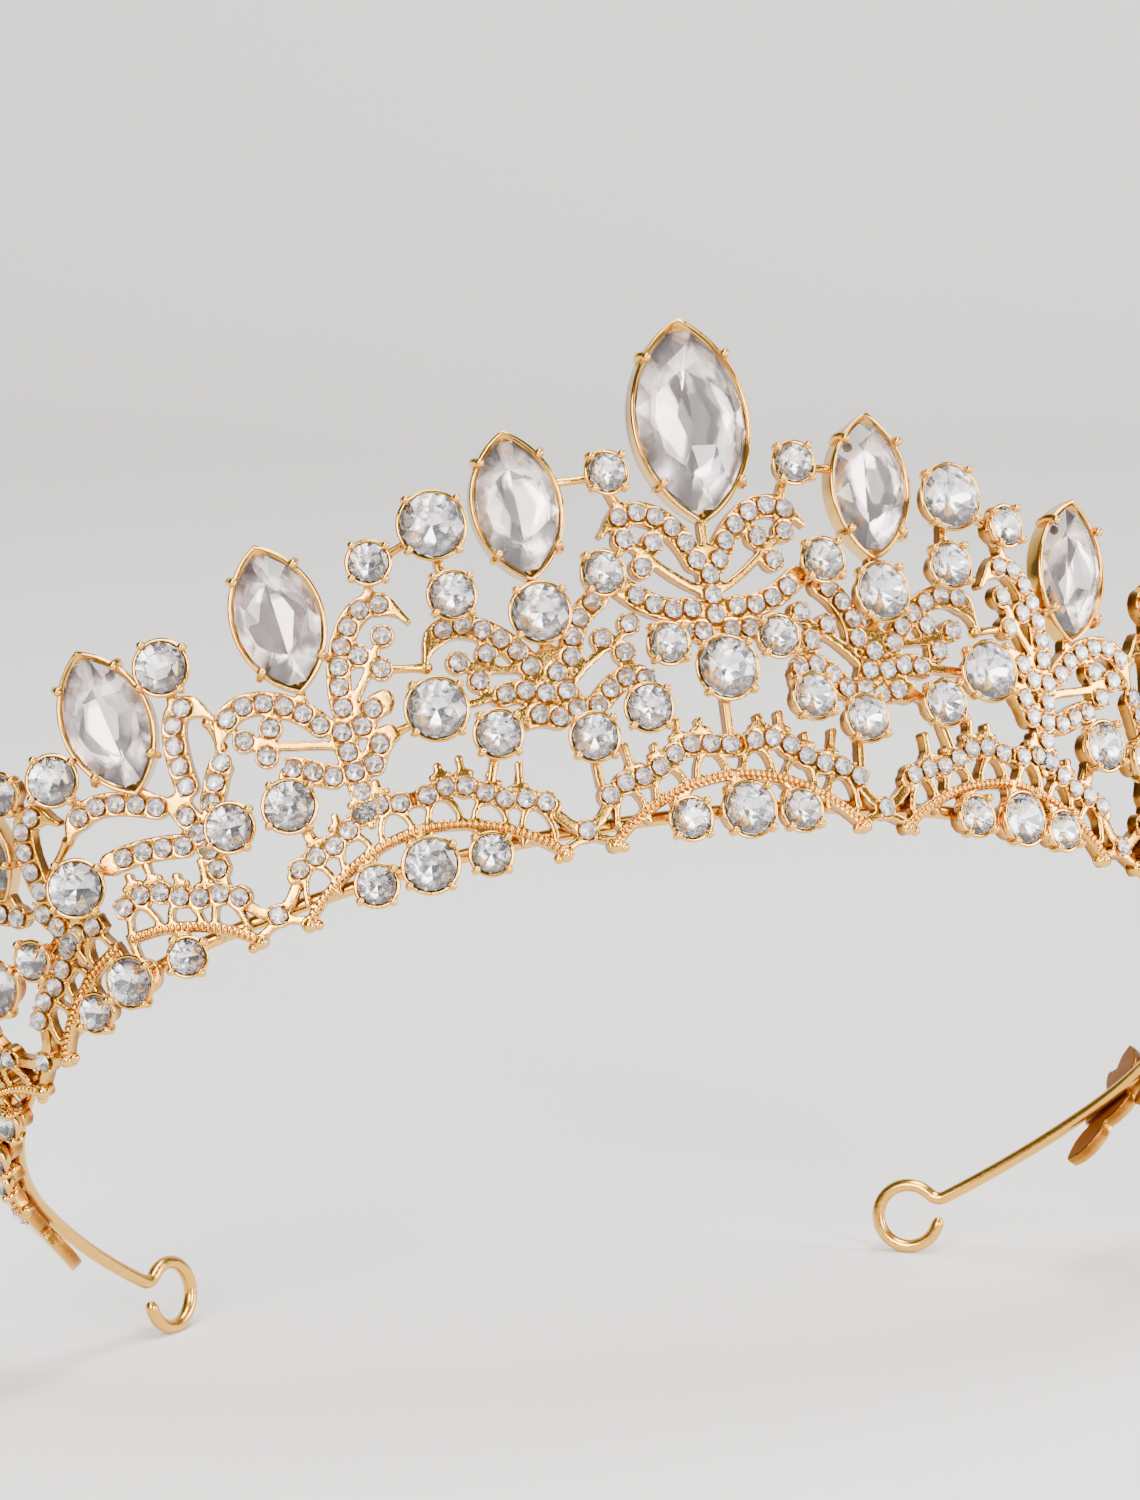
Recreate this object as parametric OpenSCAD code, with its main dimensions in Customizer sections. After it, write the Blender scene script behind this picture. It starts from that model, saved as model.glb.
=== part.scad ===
// Bridal tiara: a crown of soldered castings and set glass stones on a sprung wire band.
// Every casting is drawn flat as (u, v): u runs along the band, away from the middle,
// and v runs up the leaning face. The casting then stands at its station s on the band.

/* [Band] */
// Thickness of the band wire
wire_d = 1.5; // [1.2:0.1:1.8]
// Radius of the front bow of the band
front_r = 100; // [90:5:125]
// Length of the front bow, from the middle to where the temple bend starts
front_len = 54; // [50:1:60]
// Radius of the temple bend
side_r = 34; // [32:1:40]
// Length of the temple bend
side_len = 55; // [50:1:60]
// Radius of the stretch behind the ears
back_r = 80; // [65:5:110]
// Length of bare wire between the last casting and the eyelet
tail_len = 19; // [12:1:30]
// Clear width inside the wire eyelet
eyelet_d = 5.6; // [4.6:0.2:7]
// Angle of the band on the head, front edge up
worn_tilt = 49; // [0:1:60]

/* [Crown] */
// Outward lean of the crown's face from upright
crown_lean = 28; // [15:1:35]
// Thickness of the castings
plate_t = 1.5; // [1.3:0.1:2]
// Width of a scroll that carries a row of small stones
row_w = 2.5; // [2.4:0.1:2.8]
// Width of a bare scroll or stalk
stalk_w = 0.9; // [0.7:0.1:1.3]

/* [Lace] */
// Half width of the middle arch
arch_half = 13.8; // [13:0.2:15]
// Loss of half width from one arch to the next towards the ends
arch_step = 1.1; // [0.8:0.1:1.3]
// Space between the feet of two arches
arch_gap = 5; // [4.6:0.2:6]
// Rise of the arch from its feet to its crown
arch_rise = 5.7; // [5:0.1:6.2]
// Width of the beaded arch line
arch_w = 1.1; // [0.9:0.1:1.4]

/* [Stones] */
// Diameter of the small stones set in rows
pave_d = 1.9; // [1.7:0.05:1.95]
// Distance between the small stones in a row
pave_pitch = 2.1; // [2.05:0.05:2.4]
// Depth of the seat that holds a small stone
pave_seat = 0.7; // [0.5:0.05:0.9]
// Clearance between a stone and its seat, all round
stone_gap = 0.05; // [0.03:0.01:0.08]
// Wall of a stone cup
cup_wall = 0.4; // [0.3:0.05:0.5]
// Height of a round stone cup
cup_h = 1.9; // [1.6:0.1:2.4]
// Length of the middle marquise stone
marquise_big = 21; // [18:0.5:22]
// Length of the side marquise stones
marquise_small = 15; // [13:0.5:15.5]
// Width of a marquise stone as a share of its length
marquise_ratio = 0.58; // [0.5:0.01:0.6]
// Height of a marquise cup
marquise_cup_h = 2.6; // [2.2:0.1:3]

/* [Hidden] */

gold = "#d8a850";
gold_dark = "#b98632";
glass = "#f2e7e6";

wire_v = 1.5;              // how far up the face the wire runs
solder = 0.15;             // how far one casting sinks into the next at a solder joint
mesh_gap = 0.02;           // smallest step used where two outlines only meet
right = 1;
left = -1;

// ---- the line of the band -------------------------------------------------------------

// Radii and lengths of the band's three bends, from the middle outwards
bends = [[front_r, front_len], [side_r, side_len], [back_r, 100]];

function deg(rad) = rad * 180 / PI;
// Heading, in degrees, of the band at distance s from the middle
function heading(s, i = 0) =
  let (l = min(s, bends[i][1]), a = deg(l / bends[i][0]))
  s <= bends[i][1] || i == 2 ? a : a + heading(s - bends[i][1], i + 1);
// Point of the band at distance s, walking on from point p with heading h
function band_point(s, i = 0, p = [0, 0], h = 0) =
  let (r = bends[i][0], l = min(s, bends[i][1]), a = deg(l / r),
       q = p + r * [sin(h + a) - sin(h), cos(h) - cos(h + a)])
  s <= bends[i][1] || i == 2 ? q : band_point(s - bends[i][1], i + 1, q, h + a);

wire_z = wire_v * cos(crown_lean) + wire_d / 2 * sin(crown_lean);
// The middle of the head opening, level with the wire, is the origin
head_y = band_point(front_len + side_len / 2)[1];

// Tilts the finished crown as it is worn
module worn() {
  rotate([-worn_tilt, 0, 0]) translate([0, -head_y, -wire_z]) children();
}

// Stands a flat casting at station s on one side of the crown
module station(s, side) {
  p = band_point(s);
  worn() mirror([side < 0 ? 1 : 0, 0, 0])
    translate([p[0], p[1], 0]) rotate([0, 0, heading(s)]) rotate([90 + crown_lean, 0, 0])
      children();
}

// Point of the crown in the untilted ring, for a place (u, v, w) on the casting at station s
function crown_point(s, u, v, w) =
  let (p = band_point(s), h = heading(s), out = v * sin(crown_lean) + w * cos(crown_lean))
  [p[0] + u * cos(h) + out * sin(h), p[1] + u * sin(h) - out * cos(h),
   v * cos(crown_lean) - w * sin(crown_lean)];

// ---- flat curves ------------------------------------------------------------------------

curve_steps = 16;
function bezier(c, t) =
  c[0] * pow(1 - t, 3) + c[1] * 3 * t * pow(1 - t, 2) + c[2] * 3 * t * t * (1 - t) + c[3] * pow(t, 3);
function curve(c) = [for (i = [0:curve_steps]) bezier(c, i / curve_steps)];
function run(path, i = 0) = i >= len(path) - 1 ? 0 : norm(path[i + 1] - path[i]) + run(path, i + 1);
// Point at distance d along a path
function along(path, d, i = 0) =
  let (l = norm(path[i + 1] - path[i]))
  d <= l || i == len(path) - 2 ? path[i] + (path[i + 1] - path[i]) * d / l
    : along(path, d - l, i + 1);
// Points spaced one pitch apart, from a start distance to an end distance before the tip
function spaced(path, start, tail) =
  let (free = run(path) - start - tail, n = floor(free / pave_pitch + 0.01))
  n < 0 ? [] : [for (i = [0:n]) along(path, start + i * pave_pitch)];
function normal_at(path, i) =
  let (a = path[max(i - 1, 0)], b = path[min(i + 1, len(path) - 1)], d = (b - a) / norm(b - a))
  [-d[1], d[0]];
// Half width of a leaf at share t of its length: full to where its stones stop, then a point
function leaf_half(t, bare) =
  t < 1 - bare ? row_w / 2 : max(row_w / 2 * (1 - t) / max(bare, 0.001), stalk_w / 3);

module ribbon(path, halves) {
  polygon(concat(
    [for (i = [0:len(path) - 1]) path[i] + normal_at(path, i) * halves[i]],
    [for (i = [len(path) - 1:-1:0]) path[i] - normal_at(path, i) * halves[i]]));
}
module stalk(path, w = stalk_w) {
  ribbon(path, [for (p = path) w / 2]);
  for (p = [path[0], path[len(path) - 1]]) translate(p) circle(d = w, $fn = 12);
}
module leaf(shape) {
  path = curve(shape[0]);
  bare = shape[1] / run(path);
  ribbon(path, [for (i = [0:curve_steps]) leaf_half(i / curve_steps, bare)]);
  translate(path[0]) circle(d = row_w, $fn = 16);
  if (bare <= 0) translate(path[curve_steps]) circle(d = row_w, $fn = 16);
}

// A casting: a floor, and above it the same outline with the seats of its small stones cut in
module casting(seats) {
  seat_r = pave_d / 2 + stone_gap;
  floor_t = plate_t - pave_seat;
  linear_extrude(floor_t) offset(delta = mesh_gap) children();
  translate([0, 0, floor_t]) linear_extrude(pave_seat) difference() {
    offset(delta = mesh_gap) children();
    for (p = seats) translate(p) circle(r = seat_r, $fn = 20);
  }
}

// ---- stones and cups --------------------------------------------------------------------

// A small stone in its seat: girdle, crown and table
module small_stone() {
  r = pave_d / 2;
  translate([0, 0, plate_t - pave_seat])
    rotate_extrude($fn = 32)
      polygon([[0, 0], [r, 0], [r, pave_seat + 0.15], [r * 0.6, pave_seat + 0.55],
               [0, pave_seat + 0.55]]);
}

prong_d = 0.8;
cup_floor = 0.5;
function cup_r(d) = d / 2 + stone_gap + cup_wall;
// An open-backed cup with a conical wall and four prongs, standing on the casting's face
module round_cup(d) {
  top = cup_r(d);
  foot = d * 0.36;
  inner = d / 2 + stone_gap;
  translate([0, 0, plate_t]) {
    rotate_extrude($fn = 40)
      polygon([[d * 0.16, 0], [foot, 0], [top, cup_h * 0.7], [top, cup_h], [inner, cup_h],
               [inner, cup_h * 0.7], [foot - cup_wall, cup_floor], [d * 0.16, cup_floor]]);
    for (a = [45:90:315])
      rotate([0, 0, a]) translate([inner + prong_d / 2 + mesh_gap, 0, cup_h * 0.7])
        cylinder(d = prong_d, h = cup_h * 0.3 + 0.75, $fn = 16);
  }
}
// The stone in that cup: pavilion below the girdle, crown and table above it
module round_stone(d) {
  r = d / 2;
  seat = cup_h * 0.7;
  depth = seat - cup_floor - 0.1;
  translate([0, 0, plate_t + seat])
    rotate_extrude($fn = 40)
      polygon([[0, -depth], [r * 0.3, -depth], [r, 0], [r, cup_h * 0.3], [r * 0.62, cup_h * 0.3 + r * 0.3],
               [0, cup_h * 0.3 + r * 0.3]]);
}

marquise_steps = 10;
// Outline of a marquise of length l and width b: two equal arcs that meet in points
function marquise(l, b) =
  let (r = (l * l + b * b) / (4 * b), a = asin(l / 2 / r))
  concat([for (i = [0:marquise_steps - 1])
            let (t = a - 2 * a * i / marquise_steps) [r * cos(t) - r + b / 2, r * sin(t)]],
         [for (i = [0:marquise_steps - 1])
            let (t = -a + 2 * a * i / marquise_steps) [r - b / 2 - r * cos(t), r * sin(t)]]);
function marquise_b(l) = l * marquise_ratio;
module marquise_area(l, grow = 0) {
  polygon(marquise(l + 2 * grow, marquise_b(l) + 2 * grow));
}

rim = stone_gap + cup_wall;
ledge = 0.8;
// The marquise cup stands in the casting's own plane, with a ledge under the stone
module marquise_cup(l) {
  linear_extrude(ledge) difference() {
    marquise_area(l, rim);
    marquise_area(l, -ledge);
  }
  translate([0, 0, ledge]) linear_extrude(marquise_cup_h - ledge) difference() {
    marquise_area(l, rim);
    marquise_area(l, stone_gap);
  }
  for (x = [-1, 1], y = [-1, 1])
    translate([x * (marquise_b(l) * 0.36 + rim + 0.3), y * l * 0.27, marquise_cup_h - 1])
      cylinder(d = prong_d + 0.2, h = 1.7, $fn = 16);
}

// A marquise stone: straight girdle, then facets up to a small table
module marquise_stone(l) {
  crown = marquise_cup_h - ledge + 0.2;
  rise = marquise_b(l) * 0.22;
  outline = marquise(l, marquise_b(l));
  table = marquise(l * 0.42, marquise_b(l) * 0.42);
  n = len(outline);
  points = concat([for (p = outline) [p[0], p[1], ledge]], [for (p = outline) [p[0], p[1], crown]],
                  [for (p = table) [p[0], p[1], crown + rise]]);
  faces = concat([[for (i = [0:n - 1]) i]], [[for (i = [n - 1:-1:0]) 2 * n + i]],
                 [for (k = [0, n], i = [0:n - 1]) each [[k + i, k + n + i, k + (i + 1) % n],
                   [k + (i + 1) % n, k + n + i, k + n + (i + 1) % n]]]);
  polyhedron(points, faces);
}

// ---- the fans ---------------------------------------------------------------------------
// A leaf is [curve, bare tip length]. A round is [place, diameter].

fan_at = [0, 16.7, 39.5, 56.3, 70.5, 84];
// Height of the marquise's middle on each fan, and its length
marquise_at = [42, 35.1, 29.5, 25.8, 22.6];
marquise_l = [marquise_big, marquise_small, marquise_small, marquise_small, marquise_small * 0.85];

function flip(p) = [-p[0], p[1]];
function both(places) = concat(places, [for (p = places) flip(p)]);
middle_leaves = [
  [[[1.3, 27.4], [2.8, 31.6], [7.6, 35.4], [11.4, 30.4]], 2.6],
  [[[2.5, 22.4], [4.8, 22.0], [7.2, 23.0], [9.6, 25.0]], 0],
  [[[1.6, 20.0], [2.4, 20.4], [3.0, 20.3], [3.7, 20.0]], 0]];
fan_leaves = [
  concat([[[[0, 21.6], [0, 23.6], [0, 25.6], [0, 27.6]], 0]], middle_leaves,
         [for (s = middle_leaves) [[for (p = s[0]) flip(p)], s[1]]]),
  [[[[-2.0, 13.6], [-1.2, 15.6], [-0.6, 17.4], [-0.2, 19.4]], 0],
   [[[1.9, 18.6], [3.4, 22.4], [10.8, 27.8], [12.6, 20.2]], 3],
   [[[0.9, 15.7], [2.0, 16.2], [3.8, 16.6], [5.4, 16.2]], 0],
   [[[0.0, 13.0], [1.4, 13.8], [3.0, 13.8], [4.4, 13.2]], 0.4],
   [[[-2.5, 18.9], [-2.6, 21.4], [-4.6, 23.6], [-6.4, 24.4]], 0],
   [[[-4.2, 13.6], [-5.6, 14.8], [-8.0, 17.6], [-10.6, 14.6]], 1.2]],
  [[[[-2.8, 8.2], [-3.0, 11.0], [-2.6, 14.0], [-2.8, 17.0]], 0],
   [[[-3.6, 19.0], [-3.8, 24.8], [-9.0, 32.6], [-12.6, 25.2]], 3],
   [[[-0.9, 18.0], [0.8, 21.2], [8.0, 25.4], [9.6, 18.4]], 2.4],
   [[[-0.6, 12.6], [0.8, 13.2], [2.4, 14.8], [4.0, 14.8]], 0.4],
   [[[-4.9, 12.6], [-5.8, 14.6], [-7.0, 15.4], [-8.2, 14.4]], 0.8],
   [[[-4.9, 16.6], [-5.8, 18.0], [-7.4, 18.6], [-8.8, 18.2]], 0.4]],
  [[[[-4.6, 7.6], [-4.6, 9.6], [-4.2, 12.6], [-3.2, 15.2]], 0],
   [[[-4.9, 16.6], [-5.0, 21.4], [-6.8, 27.6], [-10.2, 21.4]], 2.2],
   [[[-1.2, 15.9], [1.2, 17.4], [6.0, 20.8], [8.8, 16.2]], 2],
   [[[-2.2, 11.2], [-0.6, 11.8], [2.4, 12.8], [5.4, 12.6]], 0],
   [[[-6.6, 14.0], [-7.6, 15.4], [-8.4, 16.8], [-9.6, 17.6]], 0.4]],
  [[[[-3.2, 8.2], [-3.4, 9.8], [-3.0, 11.4], [-2.5, 12.4]], 0],
   [[[-3.7, 14.4], [-4.4, 19.2], [-6.6, 24.0], [-9.8, 18.4]], 2],
   [[[0.4, 13.8], [1.8, 16.0], [6.4, 18.4], [8.6, 13.6]], 2]],
  [[[[-2.6, 8.2], [-2.6, 9.6], [-2.2, 11.0], [-1.7, 12.3]], 0],
   [[[-3.5, 13.2], [-4.2, 17.0], [-6.4, 21.0], [-9.0, 16.0]], 2],
   [[[0.4, 13.2], [1.6, 15.2], [5.6, 16.8], [7.6, 11.6]], 2.4]]];
// Stalks of bare metal: each is a curve
fan_stalks = [
  [[[0, 8.2], [0, 10], [0, 12], [0, 15.8]], [[0, 17.4], [0, 19], [0, 20], [0, 22]],
   [[0, 27.4], [0, 29], [0, 30], [0, 31.2]],
   for (k = [1, -1]) each [[[0, 23.8], [k * 3, 25], [k * 5, 26.6], [k * 7.3, 28.9]],
     [[k * 8.4, 32.6], [k * 9.2, 34], [k * 9.8, 35.4], [k * 10.4, 36.8]],
     [[k * 3.4, 20.1], [k * 4.6, 20.0], [k * 5.4, 19.6], [k * 6.1, 18.7]],
     [[k * 9.4, 24.9], [k * 10.4, 25.2], [k * 11.4, 25.8], [k * 12.2, 26.4]],
     [[0, 21.0], [k * 0.8, 20.6], [k * 1.2, 20.4], [k * 1.6, 20.2]],
     [[0, 21.8], [k * 0.9, 22.2], [k * 1.6, 22.4], [k * 2.5, 22.4]],
     [[0, 26.8], [k * 0.6, 27.0], [k * 1.0, 27.2], [k * 1.4, 27.6]]]],
  [[[-2.8, 5.5], [-2.8, 7], [-2.8, 9], [-2.8, 10.2]], [[-2.8, 10.2], [-2.4, 11], [-2.2, 12], [-2, 13.6]],
   [[-0.2, 19.4], [0, 21], [0, 22], [0.1, 23.7]], [[0.1, 23.7], [0, 25], [0, 26], [0, 27.6]],
   [[-0.6, 17.0], [0.6, 17.2], [1.4, 17.8], [1.9, 18.6]], [[5.4, 16.4], [8, 16], [10, 15.9], [12.6, 15.8]],
   [[-1.4, 14.8], [-0.6, 15], [0.2, 15.4], [0.9, 15.7]], [[-1.8, 13.2], [-1.2, 12.8], [-0.6, 12.8], [0, 13]],
   [[4.0, 13.4], [5, 13], [6, 12.6], [6.9, 12.2]], [[6.9, 12.2], [7.2, 10.4], [7.8, 9], [8.2, 8.0]],
   [[-0.6, 17.0], [1.6, 19.0], [4.6, 18.6], [7.4, 19.4]], [[-1, 17.4], [-1.6, 17.6], [-2.2, 18.2], [-2.5, 18.9]],
   [[-1.2, 15.4], [-3, 17.4], [-5, 18.8], [-7.6, 19.9]], [[-2.2, 13.2], [-3, 13], [-3.8, 13.2], [-4.2, 13.6]],
   [[-10.2, 15.2], [-10.4, 14], [-9.8, 13], [-9, 12.2]], [[8.0, 24.2], [8.4, 25], [8.6, 26], [8.7, 27]],
   [[8.7, 27], [8.9, 29], [9.1, 31], [9.3, 34.4]], [[-1.8, 12.8], [-1.4, 12.2], [-1.2, 13], [-1.6, 14]]],
  [[[-2.8, 6.8], [-2.8, 7.4], [-2.8, 7.8], [-2.8, 8.4]], [[-2.8, 17], [-3, 17.8], [-3.4, 18.4], [-3.6, 19]],
   [[-2.8, 16.6], [-2, 17], [-1.4, 17.4], [-0.9, 18]], [[0.2, 19.6], [0, 20.4], [0, 21], [0, 22.0]],
   [[-2.7, 12], [-2, 12], [-1.2, 12.2], [-0.6, 12.6]], [[3.6, 14.8], [4.6, 14.4], [4.6, 12.4], [4.5, 10.9]],
   [[-2.8, 11.6], [-3.6, 11.6], [-4.4, 12], [-4.9, 12.6]], [[-2.8, 15.4], [-3.6, 15.4], [-4.4, 16], [-4.9, 16.6]],
   [[-2.8, 15.0], [0, 16.6], [3, 16.6], [5.4, 18.0]], [[-3.0, 16.6], [-4.4, 19.4], [-6.4, 20.4], [-8.2, 23.2]],
   [[-9.0, 28.2], [-9.6, 29.6], [-10.2, 30.8], [-10.5, 32.1]], [[4.5, 10.9], [4.2, 9.6], [3.8, 8.6], [3.6, 7.0]]],
  [[[-4.6, 5.4], [-4.6, 6.2], [-4.6, 7], [-4.6, 7.8]], [[-4.2, 10.4], [-5, 10.8], [-6, 10.8], [-7.6, 10.7]],
   [[-3.2, 15.2], [-2, 16.4], [-1, 17], [0, 18.4]], [[-3.6, 14.6], [-4.4, 15.2], [-4.8, 16], [-4.9, 16.6]],
   [[-3.2, 15.0], [-2.4, 15.2], [-1.8, 15.4], [-1.2, 15.9]], [[-4.2, 10.6], [-3.4, 10.6], [-2.8, 10.8], [-2.2, 11.2]],
   [[5.2, 12.6], [6.6, 12.4], [8, 12], [9.4, 11.6]], [[-4.2, 12.4], [-5, 12.6], [-6, 13.2], [-6.6, 14]],
   [[-6.6, 24.0], [-7, 25.4], [-7.2, 26.8], [-7.6, 28.4]], [[5.6, 18.4], [6.4, 19.8], [7, 21], [7.3, 22.6]]],
  [[[-3.4, 5.8], [-3.3, 6.6], [-3.2, 7.4], [-3.2, 8.4]], [[-3.0, 9.8], [-2, 9.2], [-1, 9], [0.8, 9]],
   [[0.8, 9], [2.6, 9], [4.4, 9.2], [6.6, 9.4]], [[-2.6, 12.2], [-1.8, 12.8], [-0.6, 13.2], [0.4, 13.8]],
   [[-2.6, 12.2], [-3.2, 12.8], [-3.6, 13.6], [-3.7, 14.4]], [[0.4, 13.8], [0.2, 14.6], [0, 15.6], [0, 16.4]],
   [[-6.0, 20.6], [-6.2, 21.6], [-6.6, 22.8], [-6.9, 24.4]]],
  [[[-2.8, 5.8], [-2.7, 6.6], [-2.6, 7.4], [-2.6, 8.4]], [[-2.4, 9.8], [-1.2, 9.2], [0.6, 9], [2.6, 9]],
   [[-1.7, 12.3], [-1, 12.4], [-0.2, 12.8], [0.4, 13.2]], [[-1.7, 12.3], [-2.4, 12.4], [-3.2, 12.8], [-3.5, 13.2]],
   [[0.4, 13.2], [0.2, 14.6], [0, 16], [0, 18.4]]]];
// Single small stones on stalks: the trefoils
fan_tips = [
  both([[8.9, 30.0], [5.8, 29.5], [7.3, 27.0]]),
  [[9.2, 20.3], [6.1, 20.7], [7.4, 18.1], [-6.0, 20.2], [-9.1, 21.3], [-8.0, 18.4]],
  [[6.9, 18.8], [4.0, 19.2], [5.2, 16.6], [-9.6, 24.8], [-6.7, 23.6], [-8.5, 21.6]],
  [], [], []];
fan_rounds = [
  [[[0, 15.8], 6.2], for (k = [1, -1]) each [[[k * 12.2, 26.4], 4.2], [[k * 6.1, 18.7], 4],
    [[k * 10.4, 36.8], 4]]],
  [[[-2.8, 10.2], 4.6], [[-9, 12.2], 4.5], [[6.9, 12.2], 4.5], [[12.6, 15.8], 6], [[0.1, 23.7], 5.8],
   [[8.7, 27], 4.5], [[9.3, 34.4], 6.6]],
  [[[4.5, 10.9], 5], [[-10.5, 32.1], 4]],
  [[[-7.6, 10.7], 4.6], [[-7.6, 28.4], 5.2], [[7.3, 22.6], 4.8], [[9.4, 11.6], 5.4]],
  [[[0.8, 9.0], 3.6], [[6.6, 9.4], 5.6], [[-6.9, 24.4], 4]],
  [[[2.6, 9.0], 4.2], [[0, 18.4], 5.2]]];

function row_stones(k) = [for (s = fan_leaves[k]) each spaced(curve(s[0]), 0, s[1])];
function small_stones_of(k) = concat(row_stones(k), fan_tips[k]);

module fan_outline(k) {
  difference() {
    union() {
      for (s = fan_leaves[k]) leaf(s);
      for (c = fan_stalks[k]) stalk(curve(c));
      for (p = fan_tips[k]) translate(p) circle(d = row_w, $fn = 16);
      // a trefoil's three stones meet at its middle
      for (i = [0:3:len(fan_tips[k]) - 1], j = [0:2])
        stalk([fan_tips[k][i + j], (fan_tips[k][i] + fan_tips[k][i + 1] + fan_tips[k][i + 2]) / 3]);
      for (r = fan_rounds[k]) translate(r[0]) circle(r = r[1] * 0.38, $fn = 24);
    }
    if (k < len(marquise_at))
      translate([0, marquise_at[k]]) marquise_area(marquise_l[k], rim - solder);
  }
}

module fan(k, side) {
  color(gold) station(fan_at[k], side) casting(small_stones_of(k)) fan_outline(k);
}
module fan_stones(k, side) {
  color(glass) station(fan_at[k], side)
    for (p = small_stones_of(k)) translate(p) small_stone();
}
module fan_cups(k, side) {
  color(gold) station(fan_at[k], side)
    for (r = fan_rounds[k]) translate(r[0]) round_cup(r[1]);
}
module fan_round_stones(k, side) {
  color(glass) station(fan_at[k], side)
    for (r = fan_rounds[k]) translate(r[0]) round_stone(r[1]);
}
module crown_marquise_cup(k, side) {
  color(gold) station(fan_at[k], side) translate([0, marquise_at[k], 0]) marquise_cup(marquise_l[k]);
}
module crown_marquise(k, side) {
  color(glass) station(fan_at[k], side) translate([0, marquise_at[k], 0]) marquise_stone(marquise_l[k]);
}

// ---- the lace -----------------------------------------------------------------------------

foot_v = -0.9;
function half_of(k) = arch_half - arch_step * (k == 0 ? 0 : k - 0.7);
function arch_centre(k) = k == 0 ? 0 : arch_centre(k - 1) + half_of(k - 1) + arch_gap + half_of(k);
function arch_r(a) = (a * a + arch_rise * arch_rise) / (2 * arch_rise);
function arch_v(u, a) = sqrt(pow(arch_r(a), 2) - u * u) - arch_r(a) + arch_rise + foot_v;
// The scalloped row of small stones above the arch: height of its ends, its rise, its wave
row_foot = 3.6;
row_rise = 4.8;
row_wave = 0.5;
function row_v(u, a) = row_foot + row_rise * (1 - u * u / a / a) - row_wave * cos(360 * 1.6 * u / a);
lace_steps = 28;
function lace_path(a, f) = [for (i = [0:lace_steps]) let (u = a * (2 * i / lace_steps - 1)) f == 0
  ? [u, arch_v(u, a)] : [u, row_v(u, a)]];
// The row's stones are spaced evenly, with the spare length shared at the two ends
function lace_seats(a) =
  let (path = lace_path(a, 1), spare = run(path) - floor(run(path) / pave_pitch) * pave_pitch)
  spaced(path, spare / 2, spare / 2 - 0.01);

hang_big = 5.4;
hang_small = 4;
hang_v = [0.6, 0.9, 0.6];
function hang_u(a) = [-a * 0.43, 0, a * 0.43];
// The hanging stones shrink with their arch
function hang_d(a) = a / arch_half * [hang_small, hang_big, hang_small];

// Each finial is [place along the half arch, height, how far its tip leans outwards]
finials = [[0.21, 1.0, 0], [0.38, 1.6, 0], [0.57, 1.0, 0.1], [0.76, 2.2, 0.7]];

module lace_outline(a) {
  seats = lace_seats(a);
  stalk(lace_path(a, 0), arch_w);
  stalk(lace_path(a, 1), row_w * 0.62);
  for (p = seats) translate(p) circle(d = row_w, $fn = 16);
  // loops between the arch and the row
  for (i = [-2.5:1:2.5]) {
    u = i * a / 3;
    top = row_v(u, a) - row_w * 0.3;
    low = arch_v(u, a);
    stalk([for (t = [0:20:180]) [u + a * 0.125 * cos(t), low + (top - low) * sin(t)]], stalk_w * 0.75);
  }
  // finials above the row: a spike with a bead at its tip and one at each side of its foot
  for (side = [-1, 1], f = finials) {
    p = [side * f[0] * a, row_v(f[0] * a, a) + row_w / 2];
    tip = p + [side * f[2], f[1]];
    stalk([p - [0, row_w / 2], tip], stalk_w * 0.8);
    translate(tip) circle(d = stalk_w, $fn = 12);
    for (x = [-1, 1]) translate(p + [x * stalk_w * 0.6, 0]) circle(d = stalk_w, $fn = 12);
  }
  // beaded feet, and the pads that carry the hanging cups
  for (x = [-1, 1]) translate([x * a, foot_v]) circle(d = arch_w * 1.5, $fn = 16);
  for (i = [0:2]) {
    p = [hang_u(a)[i], hang_v[i]];
    translate(p) circle(r = hang_d(a)[i] * 0.38, $fn = 20);
    stalk([p, [p[0], arch_v(p[0], a)]], stalk_w * 1.4);
  }
}

// One lace arch is bent over the band in two flat halves
module lace_arch(k, side) {
  a = half_of(k);
  color(gold) for (half = k == 0 ? [-1, 1] : [1, 2]) {
    first = k == 0 ? half * side > 0 : half == 2;
    turn = first ? 1 : -1;
    place = k == 0 ? a / 2 : arch_centre(k) + turn * a / 2;
    station(place, k == 0 ? half : side)
      translate([k == 0 ? -a / 2 : -turn * a / 2, 0, 0])
        casting(lace_seats(a)) intersection() {
          lace_outline(a);
          if (k == 0) translate([-solder, -10]) square([a + 10, 40]);
          else translate([turn > 0 ? -solder : -a - 10, -10]) square([a + 10 + solder, 40]);
        }
  }
}
module lace_places(k, side, places) {
  a = half_of(k);
  for (i = [0:len(places) - 1]) {
    p = places[i];
    if (k == 0) station(a / 2, p[0] < 0 ? -1 : 1)
      translate([abs(p[0]) - a / 2, p[1], 0]) { $i = i; children(); }
    else station(arch_centre(k) + (p[0] < 0 ? -a / 2 : a / 2), side)
      translate([p[0] + (p[0] < 0 ? a / 2 : -a / 2), p[1], 0]) { $i = i; children(); }
  }
}
module lace_stones(k, side) {
  color(glass) lace_places(k, side, lace_seats(half_of(k))) small_stone();
}
function hang_places(k) = let (u = hang_u(half_of(k))) [for (i = [0:2]) [u[i], hang_v[i]]];
module arch_hanging_cups(k, side) {
  color(gold) lace_places(k, side, hang_places(k)) round_cup(hang_d(half_of(k))[$i]);
}
module arch_hanging_stones(k, side) {
  color(glass) lace_places(k, side, hang_places(k)) round_stone(hang_d(half_of(k))[$i]);
}

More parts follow.
